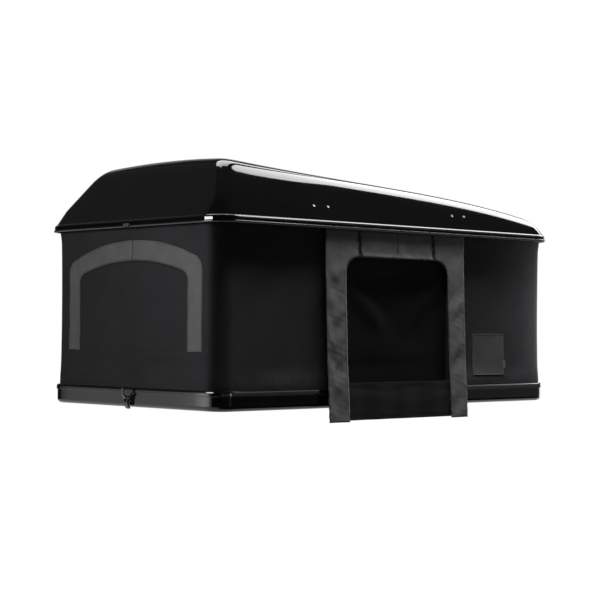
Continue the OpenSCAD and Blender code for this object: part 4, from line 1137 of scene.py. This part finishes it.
def direct_rays(tree):
    """1 for camera, glossy and transmitted rays, 0 for the rest."""
    path = tree.nodes.new("ShaderNodeLightPath")
    some = math_node(tree, "MAXIMUM", path.outputs["Is Camera Ray"], path.outputs["Is Glossy Ray"])
    return math_node(tree, "MAXIMUM", some, path.outputs["Is Transmission Ray"])


def build_floor():
    """Pale floor, as far below the tent as a vehicle's roof is high, white away from the tent."""
    a = np.linspace(0, 2 * math.pi, 65)[:-1]
    depth, fade_from, fade = -1.7, 2.5, 4.0
    r = np.array([0.0, 3.0, 8.0, 25.0, 90.0])[:, None]
    pts = np.stack([r * np.cos(a), r * np.sin(a), np.full((5, 64), depth)], -1)
    mat, tree, shader, coords = material("pale_floor")
    at = coords.outputs["Object"]
    tree.links.new(tint(tree, use_group(tree, MOTTLE, at, Scale=0.7), (0.12,) * 3, (0.13,) * 3),
                   shader.inputs["Base Color"])
    fill(shader, {"Roughness": 0.9, "Specular IOR Level": 0.0})
    away = tree.nodes.new("ShaderNodeVectorMath")
    away.operation = "LENGTH"
    tree.links.new(at, away.inputs[0])
    past = math_node(tree, "SUBTRACT", away.outputs["Value"], fade_from)
    far = math_node(tree, "MULTIPLY", past, 1 / fade, clamp=True)
    tree.links.new(tint(tree, far, (0.92,) * 3, (1, 1, 1)), shader.inputs["Emission Color"])
    tree.links.new(direct_rays(tree), shader.inputs["Emission Strength"])
    piece("floor", pts, grid_faces(5, 64, wrap=True), mat)


def build_cards():
    """Studio cards for the gloss, and a flag that keeps the key light on the tall end."""
    # dark cards all round, with a grey one behind the far side of the roof
    around = np.arange(0, 361, 4.0)
    low = np.interp(around, [20, 28, 76, 84], [0.9, 33, 33, 0.9])
    round_card("dark_cards", around, low, 89.9, 0.02, 60)
    round_card("grey_card", np.linspace(18, 86, 12), -4.0, 36.0, 0.4, 60)
    round_card("end_card", np.linspace(84, 118, 9), 24.0, 50.0, 0.06, 54)
    round_card("line_card", np.linspace(304, 336, 9), 10.0, 18.0, 1.5, 54)
    level_card("shoulder_card", [(0.5, -0.72, -0.46), (1.2, -0.99, -0.04), (1.35, -0.96, 0.05),
                                 (1.54, -0.89, 0.2), (1.84, -0.6, 0.46), (2.3, -0.6, 0.86),
                                 (2.7, -0.6, 1.1), (6.6, -0.6, 1.5)], 3.2, 7.0)
    level_card("corner_card", [(-1.1, 0.45, 1.6), (-0.85, 0.36, 1.7), (-0.5, 0.0, 1.7), (-0.25, -0.25, 1.7),
                               (0.3, 0.0, 1.3), (0.7, 0.12, 1.0), (1.25, 0.3, 0.75), (1.5, 0.42, 0.75),
                               (1.8, 0.62, 0.92), (2.3, 0.94, 1.06)], 3.2, 5.0)
    curved_card("lip_card", (143, 186), (0.9, 1.7), 22.0, 3.6)
    curved_card("tray_card", (129, 162), (-0.35, 0.35), 3.2, 3.6)
    curved_card("edge_card", (3, 15), (-1.2, 1.9), 3.0, 8.8)
    curved_card("flange_card", (230, 335), (0.06, 0.45), 0.5, 8.8)
    curved_card("spot_card", (280, 289), (0.10, 0.50), 8.0, 8.7)
    curved_card("front_card", (176, 318), (-1.65, 1.2), 0.02, 9.0)
    curved_card("low_front_card", (318, 384), (-1.65, 1.2), 0.2, 9.0)
    curved_card("back_card", (56, 119), (-1.65, 1.2), 0.02, 9.0)
    x, z = np.meshgrid(np.linspace(-3.0, 9.0, 5), np.linspace(-1.65, -0.22, 4))
    card("step_card", np.stack([x, np.full_like(x, -2.0), z], -1), 0.02)
    y, z = np.meshgrid(np.linspace(-3.0, -0.712, 4), np.linspace(-1.0, 2.4, 4))
    flag = piece("flag", np.stack([np.full_like(y, -1.75), y, z], -1), grid_faces(4, 4), glow("flag", 0.0))
    hide_from(flag, "camera", "diffuse", "glossy")


def build_world():
    """White background for camera, glossy and transmitted rays, and a faint white light for the rest."""
    world = bpy.data.worlds.new("studio")
    bpy.context.scene.world = world
    world.use_nodes = True
    tree = world.node_tree
    back = fill(tree.nodes["Background"], {"Color": (1, 1, 1, 1)})
    level = math_node(tree, "ADD", math_node(tree, "MULTIPLY", direct_rays(tree), 0.93), 0.07)
    tree.links.new(level, back.inputs["Strength"])


def soft_light(name, place, aim, size, watts):
    """Rectangular studio light at a place, facing a point; the cards stand in for it in reflections."""
    data = bpy.data.lights.new(name, "AREA")
    data.shape, data.size, data.size_y, data.energy = "RECTANGLE", size[0], size[1], watts
    light = bpy.data.objects.new(name, data)
    back = (Vector(place) - Vector(aim)).normalized()
    light.matrix_world = Matrix.Translation(place) @ back.to_track_quat("Z", "Y").to_matrix().to_4x4()
    light.visible_camera = light.visible_glossy = False
    bpy.context.scene.collection.objects.link(light)


build_floor()
build_cards()
build_world()
soft_light("key", (-3.2, -1.1, 1.2), (-1.05, -0.1, 0.45), (0.09, 0.9), 46)
soft_light("near_top", (0.2, -1.15, 4.2), (0.1, -0.6, 0.3), (2.6, 0.3), 370)
soft_light("far_top", (0.0, 1.25, 4.2), (0.0, 0.6, 0.3), (2.6, 0.5), 330)
soft_light("far_fill", (2.0, 6.5, 2.0), (0.0, 0.5, 0.4), (2.5, 1.6), 120)
soft_light("rim", (5.6, 0.3, 1.2), (1.0, 0.0, 0.4), (0.6, 1.4), 200)
soft_light("edge", (1.12, -0.68, 0.44), (0.98, -0.59, 0.44), (0.04, 0.62), 1.9)

bpy.context.scene.view_settings.view_transform = "Standard"
